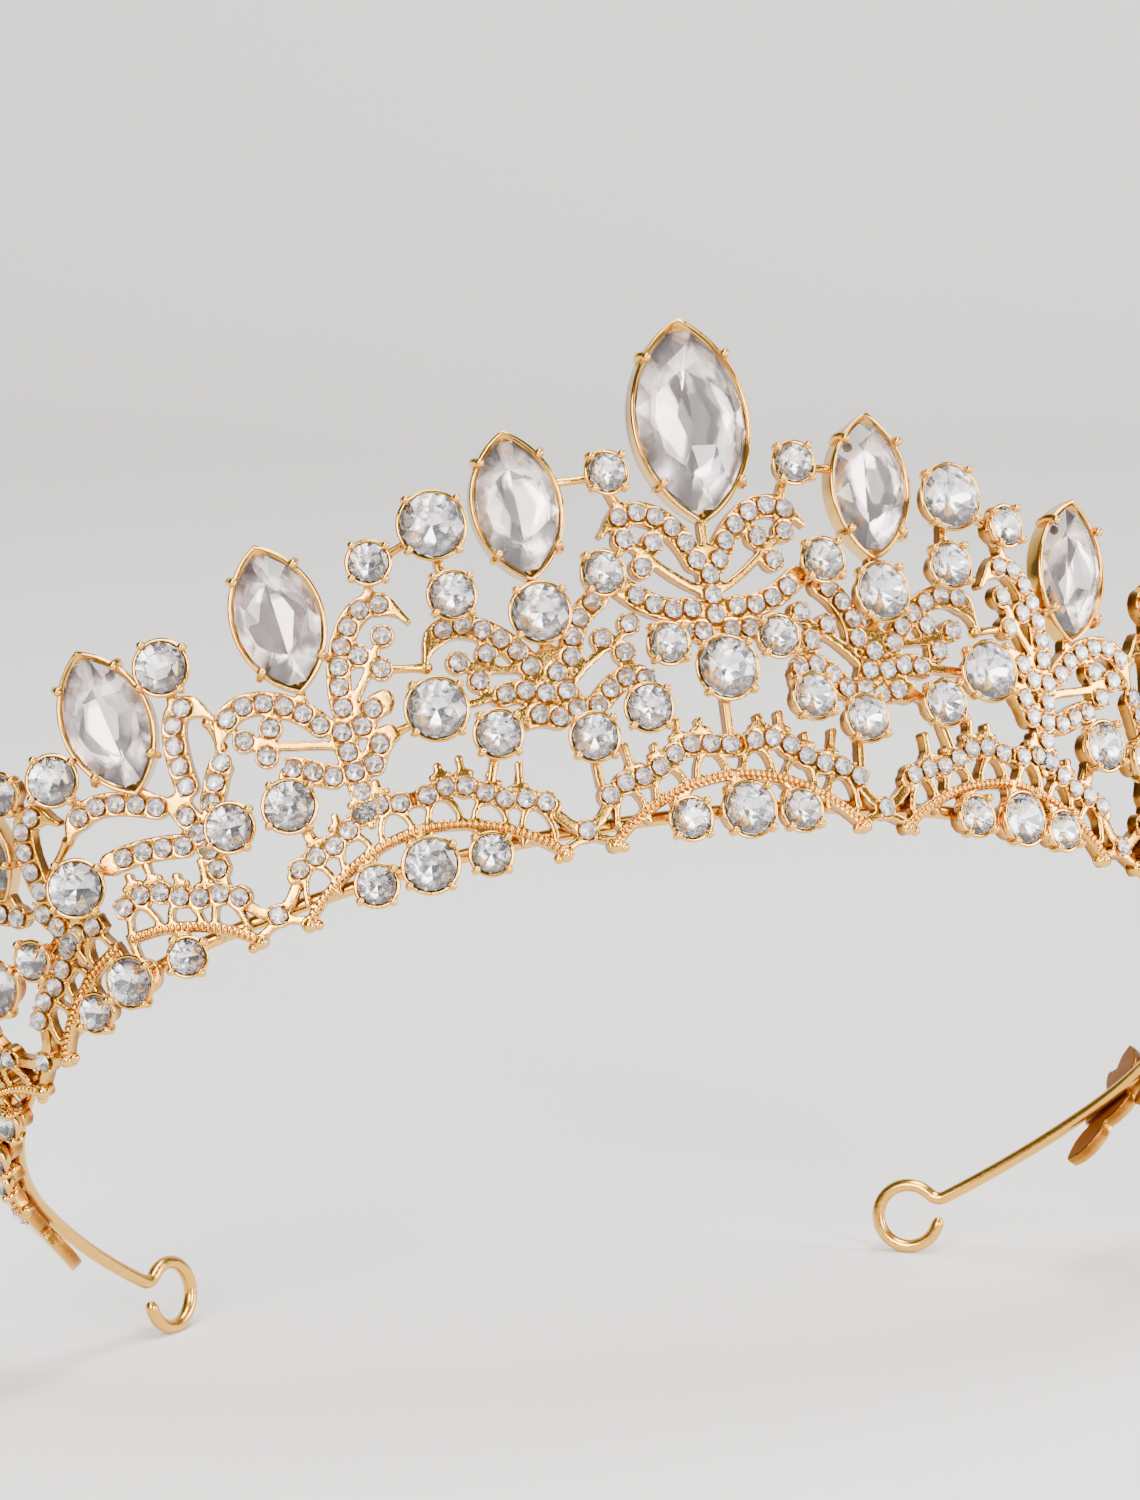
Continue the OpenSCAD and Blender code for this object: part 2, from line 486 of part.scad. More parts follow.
// A small bridge with one stone joins the feet of two arches
joiner_v = 1.1;
function joiner_at(k) = arch_centre(k) + half_of(k) + arch_gap / 2;
module lace_joiner(k, side) {
  reach = arch_gap / 2 + solder;
  color(gold) station(joiner_at(k), side) casting([[0, joiner_v]]) union() {
    translate([0, joiner_v]) circle(d = row_w, $fn = 16);
    stalk([[-reach, 3.2], [-1.6, 2.0], [0, 1.2], [1.6, 2.0], [reach, 3.2]], stalk_w * 1.3);
    stalk([[-reach, -0.4], [-1.2, 0.2], [0, 0.6], [1.2, 0.2], [reach, -0.4]]);
  }
}
module joiner_stone(k, side) {
  color(glass) station(joiner_at(k), side) translate([0, joiner_v, 0]) small_stone();
}

// The end leaf: three petals and a pointed tip that close the crown over the wire
end_at = arch_centre(3) + half_of(3);
end_petals = [[[1.8, 2.4], 62, 7], [[2.2, 0.6], 8, 7.4], [[5.8, -0.6], -24, 7], [[2.0, 4.6], 100, 6.4]];
module end_leaf(side) {
  color(gold) station(end_at + 4, side) translate([-4, 0, 0]) casting([[3.2, 1.6]]) union() {
    for (p = end_petals)
      translate(p[0]) rotate(p[1]) translate([p[2] / 2 - 1.2, 0])
        rotate(90) polygon(marquise(p[2], p[2] * 0.5));
    translate([3.2, 1.6]) circle(d = row_w * 1.2, $fn = 20);
    stalk([[-solder, 2.6], [1.4, 2.2], [3.2, 1.6]], stalk_w * 1.6);
  }
}
module end_stone(side) {
  color(glass) station(end_at + 4, side) translate([-0.8, 1.6, 0]) small_stone();
}

// ---- bars that tie neighbouring fans together --------------------------------------------
// Each bar is [fan, u, v] to [fan, u, v], through the middle of the castings' thickness
bar_ends = [
  [[0, 10.4, 36.8], [1, -3.9, 37.0]], [[0, 12.2, 26.4], [1, -6.4, 24.4]],
  [[1, 12.4, 20.4], [2, -8.5, 21.6]], [[1, 12.6, 15.8], [2, -7.6, 14.9]],
  [[1, 9.3, 34.4], [2, -10.5, 32.1]], [[2, 9.3, 19.0], [3, -9.4, 21.6]],
  [[3, 8.7, 16.6], [4, -4.2, 14.6]], [[3, 9.4, 11.6], [4, -4.0, 9.4]],
  [[4, 7.5, 14.2], [5, -3.5, 12.2]], [[4, 8.1, 10.0], [5, -3.3, 8.0]]];
module bar(a, b) {
  run = b - a;
  translate(a) rotate([0, acos(run[2] / norm(run)), atan2(run[1], run[0])])
    cylinder(d = stalk_w, h = norm(run), $fn = 16);
}
module link_bars(side) {
  color(gold) worn() mirror([side < 0 ? 1 : 0, 0, 0]) for (e = bar_ends)
    bar(crown_point(fan_at[e[0][0]], e[0][1], e[0][2], plate_t / 2),
        crown_point(fan_at[e[1][0]], e[1][1], e[1][2], plate_t / 2));
}

// ---- the band ------------------------------------------------------------------------------
// One wire, bent round the head and into an eyelet at each end, swept as a tube.

wire_end = end_at + 8 + tail_len;
wire_sides = 12;
loop_r = eyelet_d / 2 + wire_d / 2;
loop_lean = 30;            // inward lean of the eyelet from upright
neck_r = 1.6;              // radius of the neck where the wire swings out into the eyelet
neck_turn = acos(neck_r / (neck_r + loop_r));
loop_middle = (neck_r + loop_r) * sin(neck_turn);
loop_stop = 150;           // where the eyelet's open end stops, from its far side

// The eyelet's centre line in its own plane: along the wire, then across it
eyelet_line = concat(
  [for (a = [18:18:neck_turn - 1]) [neck_r * sin(a), neck_r * (1 - cos(a))]],
  [for (a = [90 + neck_turn:-15:-loop_stop]) [loop_middle + loop_r * cos(a), loop_r * sin(a)]]);
// A place in the eyelet's plane, in the untilted ring
function eyelet_point(q) =
  let (p = crown_point(wire_end, 0, wire_v, -wire_d / 2), h = heading(wire_end),
       in = q[1] * sin(loop_lean))
  p + [q[0] * cos(h) - in * sin(h), q[0] * sin(h) + in * cos(h), q[1] * cos(loop_lean)];
band_step = 4.5;
band_rings = ceil(wire_end / band_step);
half_line = concat(
  [for (i = [0:band_rings]) crown_point(wire_end * i / band_rings, 0, wire_v, -wire_d / 2)],
  [for (q = eyelet_line) eyelet_point(q)]);
band_line = concat([for (i = [len(half_line) - 1:-1:1]) [-half_line[i][0], half_line[i][1], half_line[i][2]]],
                   half_line);

function unit(a) = a / norm(a);
function tangent(line, i) = unit(line[min(i + 1, len(line) - 1)] - line[max(i - 1, 0)]);
function square_to(n, t) = unit(n - (n * t) * t);
// Tube along a line: each ring keeps the last ring's direction, so the tube does not twist
module tube(line, d, sides) {
  n = len(line);
  first = square_to([0, 0, 1], tangent(line, 0));
  normals = [for (i = 0, m = first; i < n;
                  i = i + 1, m = square_to(m, tangent(line, min(i, n - 1)))) m];
  points = [for (i = [0:n - 1], k = [0:sides - 1])
    let (m = normals[i], b = cross(tangent(line, i), m), a = 360 * k / sides)
    line[i] + d / 2 * (cos(a) * m + sin(a) * b)];
  walls = [for (i = [0:n - 2], k = [0:sides - 1])
    let (p = i * sides + k, q = i * sides + (k + 1) % sides) [q, p, p + sides, q + sides]];
  polyhedron(points, concat([[for (k = [0:sides - 1]) k]],
    [[for (k = [sides - 1:-1:0]) (n - 1) * sides + k]], walls));
}
module band_wire() {
  color(gold_dark) worn() tube(band_line, wire_d, wire_sides);
}

// ---- every node ------------------------------------------------------------------------------

module each_fan(first, last) {
  for (k = [first:last]) { $k = k; children(); }
}
band_wire();
lace_arch(0, right);  // lace_arch_middle
lace_arch(1, left);  // lace_arch_left_1
lace_arch(2, left);  // lace_arch_left_2
lace_arch(3, left);  // lace_arch_left_3
lace_arch(1, right);  // lace_arch_right_1
lace_arch(2, right);  // lace_arch_right_2
lace_arch(3, right);  // lace_arch_right_3
each_fan(0, 2) lace_joiner($k, left);  // lace_joiners_left
each_fan(0, 2) lace_joiner($k, right);  // lace_joiners_right
end_leaf(left);  // end_leaf_left
end_leaf(right);  // end_leaf_right
fan(0, right);  // fan_middle
fan(1, left);  // fan_left_1
fan(2, left);  // fan_left_2
fan(3, left);  // fan_left_3
fan(4, left);  // fan_left_4
fan(5, left);  // fan_left_5
fan(1, right);  // fan_right_1
fan(2, right);  // fan_right_2
fan(3, right);  // fan_right_3
fan(4, right);  // fan_right_4
fan(5, right);  // fan_right_5
link_bars(left);  // link_bars_left
link_bars(right);  // link_bars_right
crown_marquise_cup(0, right);  // marquise_cup_middle
crown_marquise_cup(1, left);  // marquise_cup_left_1
crown_marquise_cup(2, left);  // marquise_cup_left_2
crown_marquise_cup(3, left);  // marquise_cup_left_3
crown_marquise_cup(4, left);  // marquise_cup_left_4
crown_marquise_cup(1, right);  // marquise_cup_right_1
crown_marquise_cup(2, right);  // marquise_cup_right_2
crown_marquise_cup(3, right);  // marquise_cup_right_3
crown_marquise_cup(4, right);  // marquise_cup_right_4
crown_marquise(0, right);  // marquise_middle
crown_marquise(1, left);  // marquise_left_1
crown_marquise(2, left);  // marquise_left_2
crown_marquise(3, left);  // marquise_left_3
crown_marquise(4, left);  // marquise_left_4
crown_marquise(1, right);  // marquise_right_1
crown_marquise(2, right);  // marquise_right_2
crown_marquise(3, right);  // marquise_right_3
crown_marquise(4, right);  // marquise_right_4
fan_cups(0, right);  // round_cups_middle
each_fan(1, 5) fan_cups($k, left);  // round_cups_left
each_fan(1, 5) fan_cups($k, right);  // round_cups_right
fan_round_stones(0, right);  // round_stones_middle
each_fan(1, 5) fan_round_stones($k, left);  // round_stones_left
each_fan(1, 5) fan_round_stones($k, right);  // round_stones_right
union() {  // hanging_cups
  arch_hanging_cups(0, right);
  for (side = [left, right], k = [1:3]) arch_hanging_cups(k, side);
}
union() {  // hanging_stones
  arch_hanging_stones(0, right);
  for (side = [left, right], k = [1:3]) arch_hanging_stones(k, side);
}
union() {  // small_stones_lace
  lace_stones(0, right);
  for (side = [left, right], k = [1:3]) lace_stones(k, side);
  for (side = [left, right], k = [0:2]) joiner_stone(k, side);
  for (side = [left, right]) end_stone(side);
}
fan_stones(0, right);  // small_stones_fan_middle
each_fan(1, 5) fan_stones($k, left);  // small_stones_fans_left
each_fan(1, 5) fan_stones($k, right);  // small_stones_fans_right
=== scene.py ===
# %% [markdown]
# # A bridal tiara
# A tiara is jewellery made from a kit of small parts: one sprung wire for the band, cast sprays and
# lace arches, cups with prongs, and glass stones with a foil back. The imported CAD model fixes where
# every part is. This lesson gives each part its finish: rounded castings, cut stones, beads and cups.

# %%  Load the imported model
import math
import random

import bmesh
import bpy
import numpy as np
from mathutils import Matrix, Vector


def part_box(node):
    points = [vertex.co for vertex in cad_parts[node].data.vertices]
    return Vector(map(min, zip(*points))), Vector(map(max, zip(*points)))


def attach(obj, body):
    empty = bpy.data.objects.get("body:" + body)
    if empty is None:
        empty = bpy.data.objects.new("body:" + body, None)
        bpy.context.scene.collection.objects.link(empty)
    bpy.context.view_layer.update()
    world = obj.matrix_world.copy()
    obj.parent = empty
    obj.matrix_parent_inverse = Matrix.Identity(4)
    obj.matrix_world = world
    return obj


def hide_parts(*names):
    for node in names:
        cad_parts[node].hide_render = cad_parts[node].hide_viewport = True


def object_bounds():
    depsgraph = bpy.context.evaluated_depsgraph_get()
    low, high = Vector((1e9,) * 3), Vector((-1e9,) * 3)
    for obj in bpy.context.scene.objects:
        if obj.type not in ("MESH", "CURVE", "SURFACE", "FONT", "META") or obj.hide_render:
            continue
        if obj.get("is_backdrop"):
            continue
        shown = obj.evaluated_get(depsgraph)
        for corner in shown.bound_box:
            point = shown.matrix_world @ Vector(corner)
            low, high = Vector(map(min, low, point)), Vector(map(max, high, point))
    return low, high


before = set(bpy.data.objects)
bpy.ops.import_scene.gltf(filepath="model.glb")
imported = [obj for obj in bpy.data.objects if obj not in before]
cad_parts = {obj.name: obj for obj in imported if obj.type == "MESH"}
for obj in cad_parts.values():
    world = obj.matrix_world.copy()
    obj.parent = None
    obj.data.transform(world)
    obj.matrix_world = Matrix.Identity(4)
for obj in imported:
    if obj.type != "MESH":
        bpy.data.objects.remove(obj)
cad_box = [list(corner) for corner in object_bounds()]
print("CAD box in metres:", cad_box)

# %% [markdown]
# ## Units and the crown's own frame
# The CAD model was drawn flat, casting by casting, and each drawing stands at a station along the
# band: `u` runs along the band, `v` up the leaning face and `w` outwards. The same few driving
# values give the same stations here, so a bead can be placed in the drawing's own millimetres.
# Another way is to search the CAD meshes for every place. That is done below for the stones, whose
# places are easy to read from their solids.

# %%  Driving values, in millimetres and degrees
MM = 0.001
BENDS = [(100, 54), (34, 55), (80, 100)]  # radius and length of the band's bends, middle outwards
LEAN = math.radians(28)  # outward lean of the crown's face
WORN = math.radians(49)  # tilt of the band on the head
WIRE_D = 1.5
WIRE_V = 1.5  # how far up the face the wire runs
PLATE_T = 1.5  # thickness of the castings
ARCH_HALF, ARCH_STEP, ARCH_GAP, ARCH_RISE = 13.8, 1.1, 5.0, 5.7
FOOT_V = -0.9  # height of an arch's feet


def band_point(s):
    """Point and heading of the band at distance s from its middle, in the untilted ring."""
    x = y = h = 0.0
    for i, (r, length) in enumerate(BENDS):
        step = s if i == len(BENDS) - 1 else min(s, length)
        a = step / r
        x, y = x + r * (math.sin(h + a) - math.sin(h)), y + r * (math.cos(h) - math.cos(h + a))
        h, s = h + a, s - step
        if s <= 0:
            break
    return x, y, h


WIRE_Z = WIRE_V * math.cos(LEAN) + WIRE_D / 2 * math.sin(LEAN)
HEAD_Y = band_point(BENDS[0][1] + BENDS[1][1] / 2)[1]
WORN_TILT = Matrix.Rotation(-WORN, 4, "X") @ Matrix.Translation((0, -HEAD_Y, -WIRE_Z))


def ring_point(s, u=0, v=0, w=0):
    """Point of the untilted ring for the place (u, v, w) on the drawing at station s."""
    x, y, h = band_point(s)
    out = v * math.sin(LEAN) + w * math.cos(LEAN)
    return Vector((x + u * math.cos(h) + out * math.sin(h), y + u * math.sin(h) - out * math.cos(h),
                   v * math.cos(LEAN) - w * math.sin(LEAN)))


def place(s, side, u, v, w):
    """The same place in metres, in the model's frame; side -1 gives its mirror image."""
    p = ring_point(s, u, v, w)
    return (WORN_TILT @ Vector((side * p.x, p.y, p.z))) * MM


print("head opening to the middle of the front bow:", round(HEAD_Y, 2), "mm")

# %% [markdown]
# ## The camera
# The tiara is looked at almost level, a little from the left and a little from above, with a long
# lens that keeps the crown's far side nearly as large as its near side.

# %%  Camera
def linked(name, data):
    """A new object in the scene."""
    made = bpy.data.objects.new(name, data)
    bpy.context.scene.collection.objects.link(made)
    return made


EYE = Vector((-0.2099, -0.5237, 0.1364))
VIEW_YAW, VIEW_PITCH, LENS = math.radians(21.0), math.radians(-10.75), 129.6
camera = linked("camera", bpy.data.cameras.new("camera"))
camera.location = EYE
camera.rotation_euler = (math.pi / 2 + VIEW_PITCH, 0, -VIEW_YAW)
camera.data.lens = LENS
camera.data.clip_start = 0.01
bpy.context.scene.camera = camera

# %% [markdown]
# ## A small language for shaders
# Shader maths reads best as arithmetic. `Sock` wraps a node's output, and `+` and `*` on it add the
# Math nodes that a person would drag in by hand. `Shader.node` adds any other node: its settings go
# in first, then the values or links of its sockets.

# %%  Shader helpers
class Sock:
    """A value in a shader tree that can be used in Python arithmetic."""

    def __init__(self, shader, socket):
        self.shader, self.socket = shader, socket

    def _math(self, operation, *values):
        return self.shader.node("ShaderNodeMath", {"operation": operation}, dict(enumerate(values)))

    def __add__(self, other):
        return self._math("ADD", self, other)

    def __mul__(self, other):
        return self._math("MULTIPLY", self, other)

    __radd__ = __add__
    __rmul__ = __mul__


class Shader:
    """One material: a tree with a Principled surface."""

    def __init__(self, name, **constants):
        self.material = bpy.data.materials.new(name)
        self.material.use_nodes = True
        self.tree = self.material.node_tree
        self.surface = self.tree.nodes["Principled BSDF"]
        for socket, value in constants.items():
            self.surface.inputs[socket.replace("_", " ")].default_value = value

    def node(self, kind, settings=None, sockets=None, output=0):
        made = self.tree.nodes.new(kind)
        for key, value in (settings or {}).items():
            setattr(made, key, value)
        for key, value in (sockets or {}).items():
            self._put(made.inputs[key], value)
        return Sock(self, made.outputs[output])

    def _put(self, socket, value):
        if isinstance(value, Sock):
            self.tree.links.new(value.socket, socket)
        else:
            socket.default_value = value

    def feed(self, **sockets):
        for key, value in sockets.items():
            self._put(self.surface.inputs[key.replace("_", " ")], value)

    def place(self):
        return self.node("ShaderNodeTexCoord", output="Object")

    def noise(self, scale, detail=2.0, rough=0.5):
        return self.node("ShaderNodeTexNoise", {}, {"Vector": self.place(), "Scale": scale,
                                                    "Detail": detail, "Roughness": rough})

    def blend(self, factor, first, second):
        return self.node("ShaderNodeMix", {"data_type": "RGBA"},
                         {0: factor, 6: first, 7: second}, output=2)

    def bump(self, height, strength, distance):
        return self.node("ShaderNodeBump", {}, {"Height": height, "Strength": strength,
                                                "Distance": distance})


# %% [markdown]
# ## Gold
# The metal is a pale gold wash on a cast alloy. Castings come out of the mould with a faint orange
# peel and a satin skin, then a barrel polishes what stands proud, so hollows stay rougher. The
# hollows are also painted darker and browner: painted shade, for the light lost between the walls.
# How deep a point lies is read from the mesh itself, from an attribute that each casting gets further
# down. The cups are turned brass and shine more, and the wire shows its drawing lines.

# %%  Gold finishes
PALE_GOLD = (0.85, 0.51, 0.11, 1)
WARM_GOLD = (0.67, 0.32, 0.04, 1)
# a dark brown painted into the castings' hollows as shade
PAINTED_SHADE_GOLD = (0.26, 0.085, 0.008, 1)


def cast_gold():
    m = Shader("cast gold", Metallic=1.0)
    patches = m.noise(420, 3.0)
    skin = m.noise(5200, 3.0, 0.6)
    depth = m.node("ShaderNodeAttribute", {"attribute_name": "hollow"}, output="Fac")
    wash = m.blend(patches, WARM_GOLD, PALE_GOLD)
    # painted shade: the deeper a point lies in a hollow, the more its base colour turns dark brown
    m.feed(Base_Color=m.blend(depth * (0.75 + patches * 0.4), wash, PAINTED_SHADE_GOLD),
           Roughness=0.10 + patches * 0.10 + depth * 0.14,
           Normal=m.bump(skin, 0.35, 0.00006))
    return m.material


def cup_gold():
    m = Shader("cup gold", Metallic=1.0)
    patches = m.noise(600, 2.0)
    skin = m.noise(3800, 2.0)
    m.feed(Base_Color=m.blend(patches, WARM_GOLD, PALE_GOLD),
           Roughness=0.07 + patches * 0.10,
           Normal=m.bump(skin, 0.2, 0.00004))
    return m.material


def wire_gold():
    m = Shader("wire gold", Metallic=1.0)
    stretched = m.node("ShaderNodeMapping", {}, {"Vector": m.place(), "Scale": (1.0, 1.0, 6.0)})
    lines = m.node("ShaderNodeTexNoise", {}, {"Vector": stretched, "Scale": 700.0, "Detail": 3.0})
    m.feed(Base_Color=m.blend(lines, WARM_GOLD, PALE_GOLD),
           Roughness=0.16 + lines * 0.16,
           Normal=m.bump(lines, 0.25, 0.00005))
    return m.material


GOLD, CUP, WIRE = cast_gold(), cup_gold(), wire_gold()

# %% [markdown]
# ## Foil-backed glass
# A tiara stone is clear pressed glass whose pointed back is silvered. Light goes in through the
# crown, bounces between the silvered facets and comes out somewhere else: that is the sparkle. So a
# stone here is one closed, faceted body with two finishes: clear glass on its crown, silver on its
# back. Each facet of the silver is also painted brighter or duller at random: painted light and
# shade, for the facets that catch the lamps and those that miss them.

# %%  Stone finishes
def clear_glass(name, tint):
    m = Shader(name, Transmission_Weight=1.0, IOR=1.54)
    smear = m.noise(900, 2.0)
    m.feed(Base_Color=m.blend(smear, (1, 1, 1, 1), tint), Roughness=smear * 0.02)
    return m.material


def silvering(name, bright, dull, haze):
    m = Shader(name, Metallic=1.0)
    painted_facet_shade = m.node("ShaderNodeAttribute", {"attribute_name": "painted_facet_shade"}, output="Fac")
    clouds = m.noise(1500, 2.0)
    # painted light and shade: each facet's silver is set between bright and dull by its own random value
    m.feed(Base_Color=m.blend(painted_facet_shade * (0.85 + clouds * 0.3), bright, dull), Roughness=haze + clouds * 0.05)
    return m.material


CLEAR = clear_glass("clear glass", (1.0, 0.975, 0.965, 1))
BLUSH = clear_glass("blush glass", (1.0, 0.955, 0.945, 1))
SILVER = silvering("silvered back", (1.0, 0.99, 0.99, 1), (0.70, 0.69, 0.71, 1), 0.12)
FOIL = silvering("small foil back", (0.94, 0.96, 1.0, 1), (0.74, 0.75, 0.80, 1), 0.22)
BLUSH_SILVER = silvering("blush silvered back", (1.0, 0.94, 0.925, 1), (0.64, 0.54, 0.53, 1), 0.17)
print("finishes:", [m.name for m in (GOLD, CUP, WIRE, CLEAR, BLUSH, SILVER, FOIL, BLUSH_SILVER)])

# %% [markdown]
# ## Where the stones sit
# The CAD model holds every stone as a plain turned solid. Each is a loose part of its node's mesh, so
# its centre, its axis and its size can be read back: the axis is the direction of its widest flat
# face. Reading them keeps this scene true to the CAD model if a casting is redrawn.

# %%  Read the CAD solids
def welded(node):
    """A copy of a CAD node's mesh with its loose triangles joined up."""
    mesh = bmesh.new()
    mesh.from_mesh(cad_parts[node].data)
    bmesh.ops.remove_doubles(mesh, verts=mesh.verts, dist=2e-6)
    return mesh


def plain(mesh, name):
    """The working mesh as finished mesh data."""
    data = bpy.data.meshes.new(name)
    mesh.to_mesh(data)
    mesh.free()
    return data


def merged(node):
    """Vertices and faces of a CAD node."""
    mesh = welded(node)
    points = np.array([v.co for v in mesh.verts])
    faces = np.array([[v.index for v in f.verts[:3]] for f in mesh.faces])
    mesh.free()
    return points, faces


def loose_parts(node):
    """Each loose part of a node, as its own vertices and faces."""
    points, faces = merged(node)
    label = np.arange(len(points))
    while True:
        low = label[faces].min(1)
        new = label.copy()
        for corner in range(3):
            np.minimum.at(new, faces[:, corner], low)
        new = new[new]
        if (new == label).all():
            break
        label = new
    for part in np.unique(label[faces[:, 0]]):
        yield points, faces[label[faces[:, 0]] == part]


def widest_face(points, faces):
    """Outward direction of the part's largest flat face."""
    a, b, c = (points[faces[:, i]] for i in range(3))
    area = np.cross(b - a, c - a) / 2
    size = np.linalg.norm(area, axis=1)
    keys = np.round(area / np.maximum(size, 1e-15)[:, None] * 50).astype(int)
    _, group = np.unique(keys, axis=0, return_inverse=True)
    best = np.bincount(group.ravel(), size).argmax()
    total = area[group.ravel() == best].sum(0)
    return total / np.linalg.norm(total)


def stones_of(node, face_sign):
    """Places of a node's turned stones: the point on the axis at the girdle, the axis and the radius."""
    found = []
    for points, faces in loose_parts(node):
        axis = widest_face(points, faces) * face_sign
        own = points[np.unique(faces)]
        centre = own.mean(0)
        away = own - centre
        high = away @ axis
        flat = away - np.outer(high, axis)
        radius = np.linalg.norm(flat, axis=1).max()
        rim = high[np.linalg.norm(flat, axis=1) > radius * 0.985]
        found.append((Vector(centre + axis * rim.min()), Vector(axis), radius))
    return found


ROUND_NODES = {"round_stones_middle": "round_cups_middle", "round_stones_left": "round_cups_left",
               "round_stones_right": "round_cups_right", "hanging_stones": "hanging_cups"}
SMALL_NODES = ["small_stones_lace", "small_stones_fan_middle", "small_stones_fans_left",
               "small_stones_fans_right"]
rounds = {node: stones_of(node, 1) for node in ROUND_NODES}
smalls = {node: stones_of(node, -1) for node in SMALL_NODES}
for node, found in {**rounds, **smalls}.items():
    print(node, len(found), "stones,", round(min(s[2] for s in found) * 2 / MM, 2), "to",
          round(max(s[2] for s in found) * 2 / MM, 2), "mm")

# %% [markdown]
# ## Cutting a stone
# A cut stone is the convex hull of a few rings of points: the table's corners, the tips of the kites,
# the girdle, the back's kites and the point at the back. Turning every second ring by half a step
# makes stars, kites and triangles by itself, so no facet has to be drawn by hand.

# %%  Stone shapes
def hull_stone(name, rings, finishes, weld=0.6):
    """A closed faceted stone. The crown's facets take the first finish and the back's the second."""
    mesh = bmesh.new()
    for ring in rings:
        for point in ring:
            mesh.verts.new(point)
    made = bmesh.ops.convex_hull(mesh, input=mesh.verts)
    spare = [v for v in made["geom_interior"] + made["geom_unused"] if isinstance(v, bmesh.types.BMVert)]
    bmesh.ops.delete(mesh, geom=list(set(spare)), context="VERTS")
    bmesh.ops.dissolve_limit(mesh, angle_limit=math.radians(weld), verts=mesh.verts, edges=mesh.edges)
    bmesh.ops.recalc_face_normals(mesh, faces=mesh.faces)
    painted_facet_shade = mesh.faces.layers.float.new("painted_facet_shade")
    back = mesh.faces.layers.int.new("back")
    draw = random.Random(len(mesh.faces))
    for face in mesh.faces:
        face[back] = int(face.normal.z < -0.02)  # the girdle's upright facets belong to the crown
        face.material_index = face[back]
        # a random value per facet that paints the silver back's facets brighter or duller, as painted light
        # and shade
        face[painted_facet_shade] = draw.choice([0.0, 0.1, 0.25, 0.55, 0.9])
    data = plain(mesh, name)
    for finish in finishes:
        data.materials.append(finish)
    return data


def circle_ring(count, radius, height, turn=0.0):
    angles = [math.tau * (i + turn) / count for i in range(count)]
    return [(radius * math.cos(a), radius * math.sin(a), height) for a in angles]


def round_cut(name, fold, finishes):
    """A round stone of radius 1: a table, stars, kites and girdle facets, and a pointed back."""
    rings = [circle_ring(fold, 0.52, 0.36), circle_ring(fold, 0.80, 0.22, 0.5),
             circle_ring(2 * fold, 1.0, 0.03, 0.25), circle_ring(2 * fold, 1.0, -0.03, 0.25),
             circle_ring(fold, 0.42, -0.30, 0.5), [(0, 0, -0.46)]]
    return hull_stone(name, rings, finishes)


def small_cut(name, finishes):
    """The small stones are cut more simply, with a table and one row of facets."""
    rings = [circle_ring(8, 0.60, 0.36), circle_ring(8, 1.0, 0.06, 0.5), circle_ring(8, 1.0, -0.04, 0.5),
             circle_ring(4, 0.45, -0.36), [(0, 0, -0.56)]]
    return hull_stone(name, rings, finishes)


# %% [markdown]
# ## Many of one thing
# Stones, prongs and beads repeat by the hundred. One Geometry Nodes tree sets a shape on every point
# of a cloud, turned and scaled by the point's own attributes, with a random spin about its axis. The
# tree ends in Realize Instances and Set Material, because a file export drops instances.

# %%  Geometry Nodes helpers
def new_tree(name, inputs):
    """An empty tree with a geometry in and out, and named inputs as (name, socket type, default)."""
    tree = bpy.data.node_groups.new(name, "GeometryNodeTree")
    face = tree.interface
    face.new_socket("Geometry", in_out="INPUT", socket_type="NodeSocketGeometry")
    for label, kind, default in inputs:
        made = face.new_socket(label, in_out="INPUT", socket_type=kind)
        if default is not None:
            made.default_value = default
    face.new_socket("Geometry", in_out="OUTPUT", socket_type="NodeSocketGeometry")
    return tree, tree.nodes.new("NodeGroupInput"), tree.nodes.new("NodeGroupOutput")


def add(tree, kind, settings=None, links=None):
    """Adds one node: settings first, then values or sockets for its inputs."""
    node = tree.nodes.new(kind)
    for key, value in (settings or {}).items():
        setattr(node, key, value)
    for key, value in (links or {}).items():
        if isinstance(value, bpy.types.NodeSocket):
            tree.links.new(value, node.inputs[key])
        else:
            node.inputs[key].default_value = value
    return node


def attribute(tree, name, kind):
    return add(tree, "GeometryNodeInputNamedAttribute", {"data_type": kind}, {"Name": name}).outputs[0]


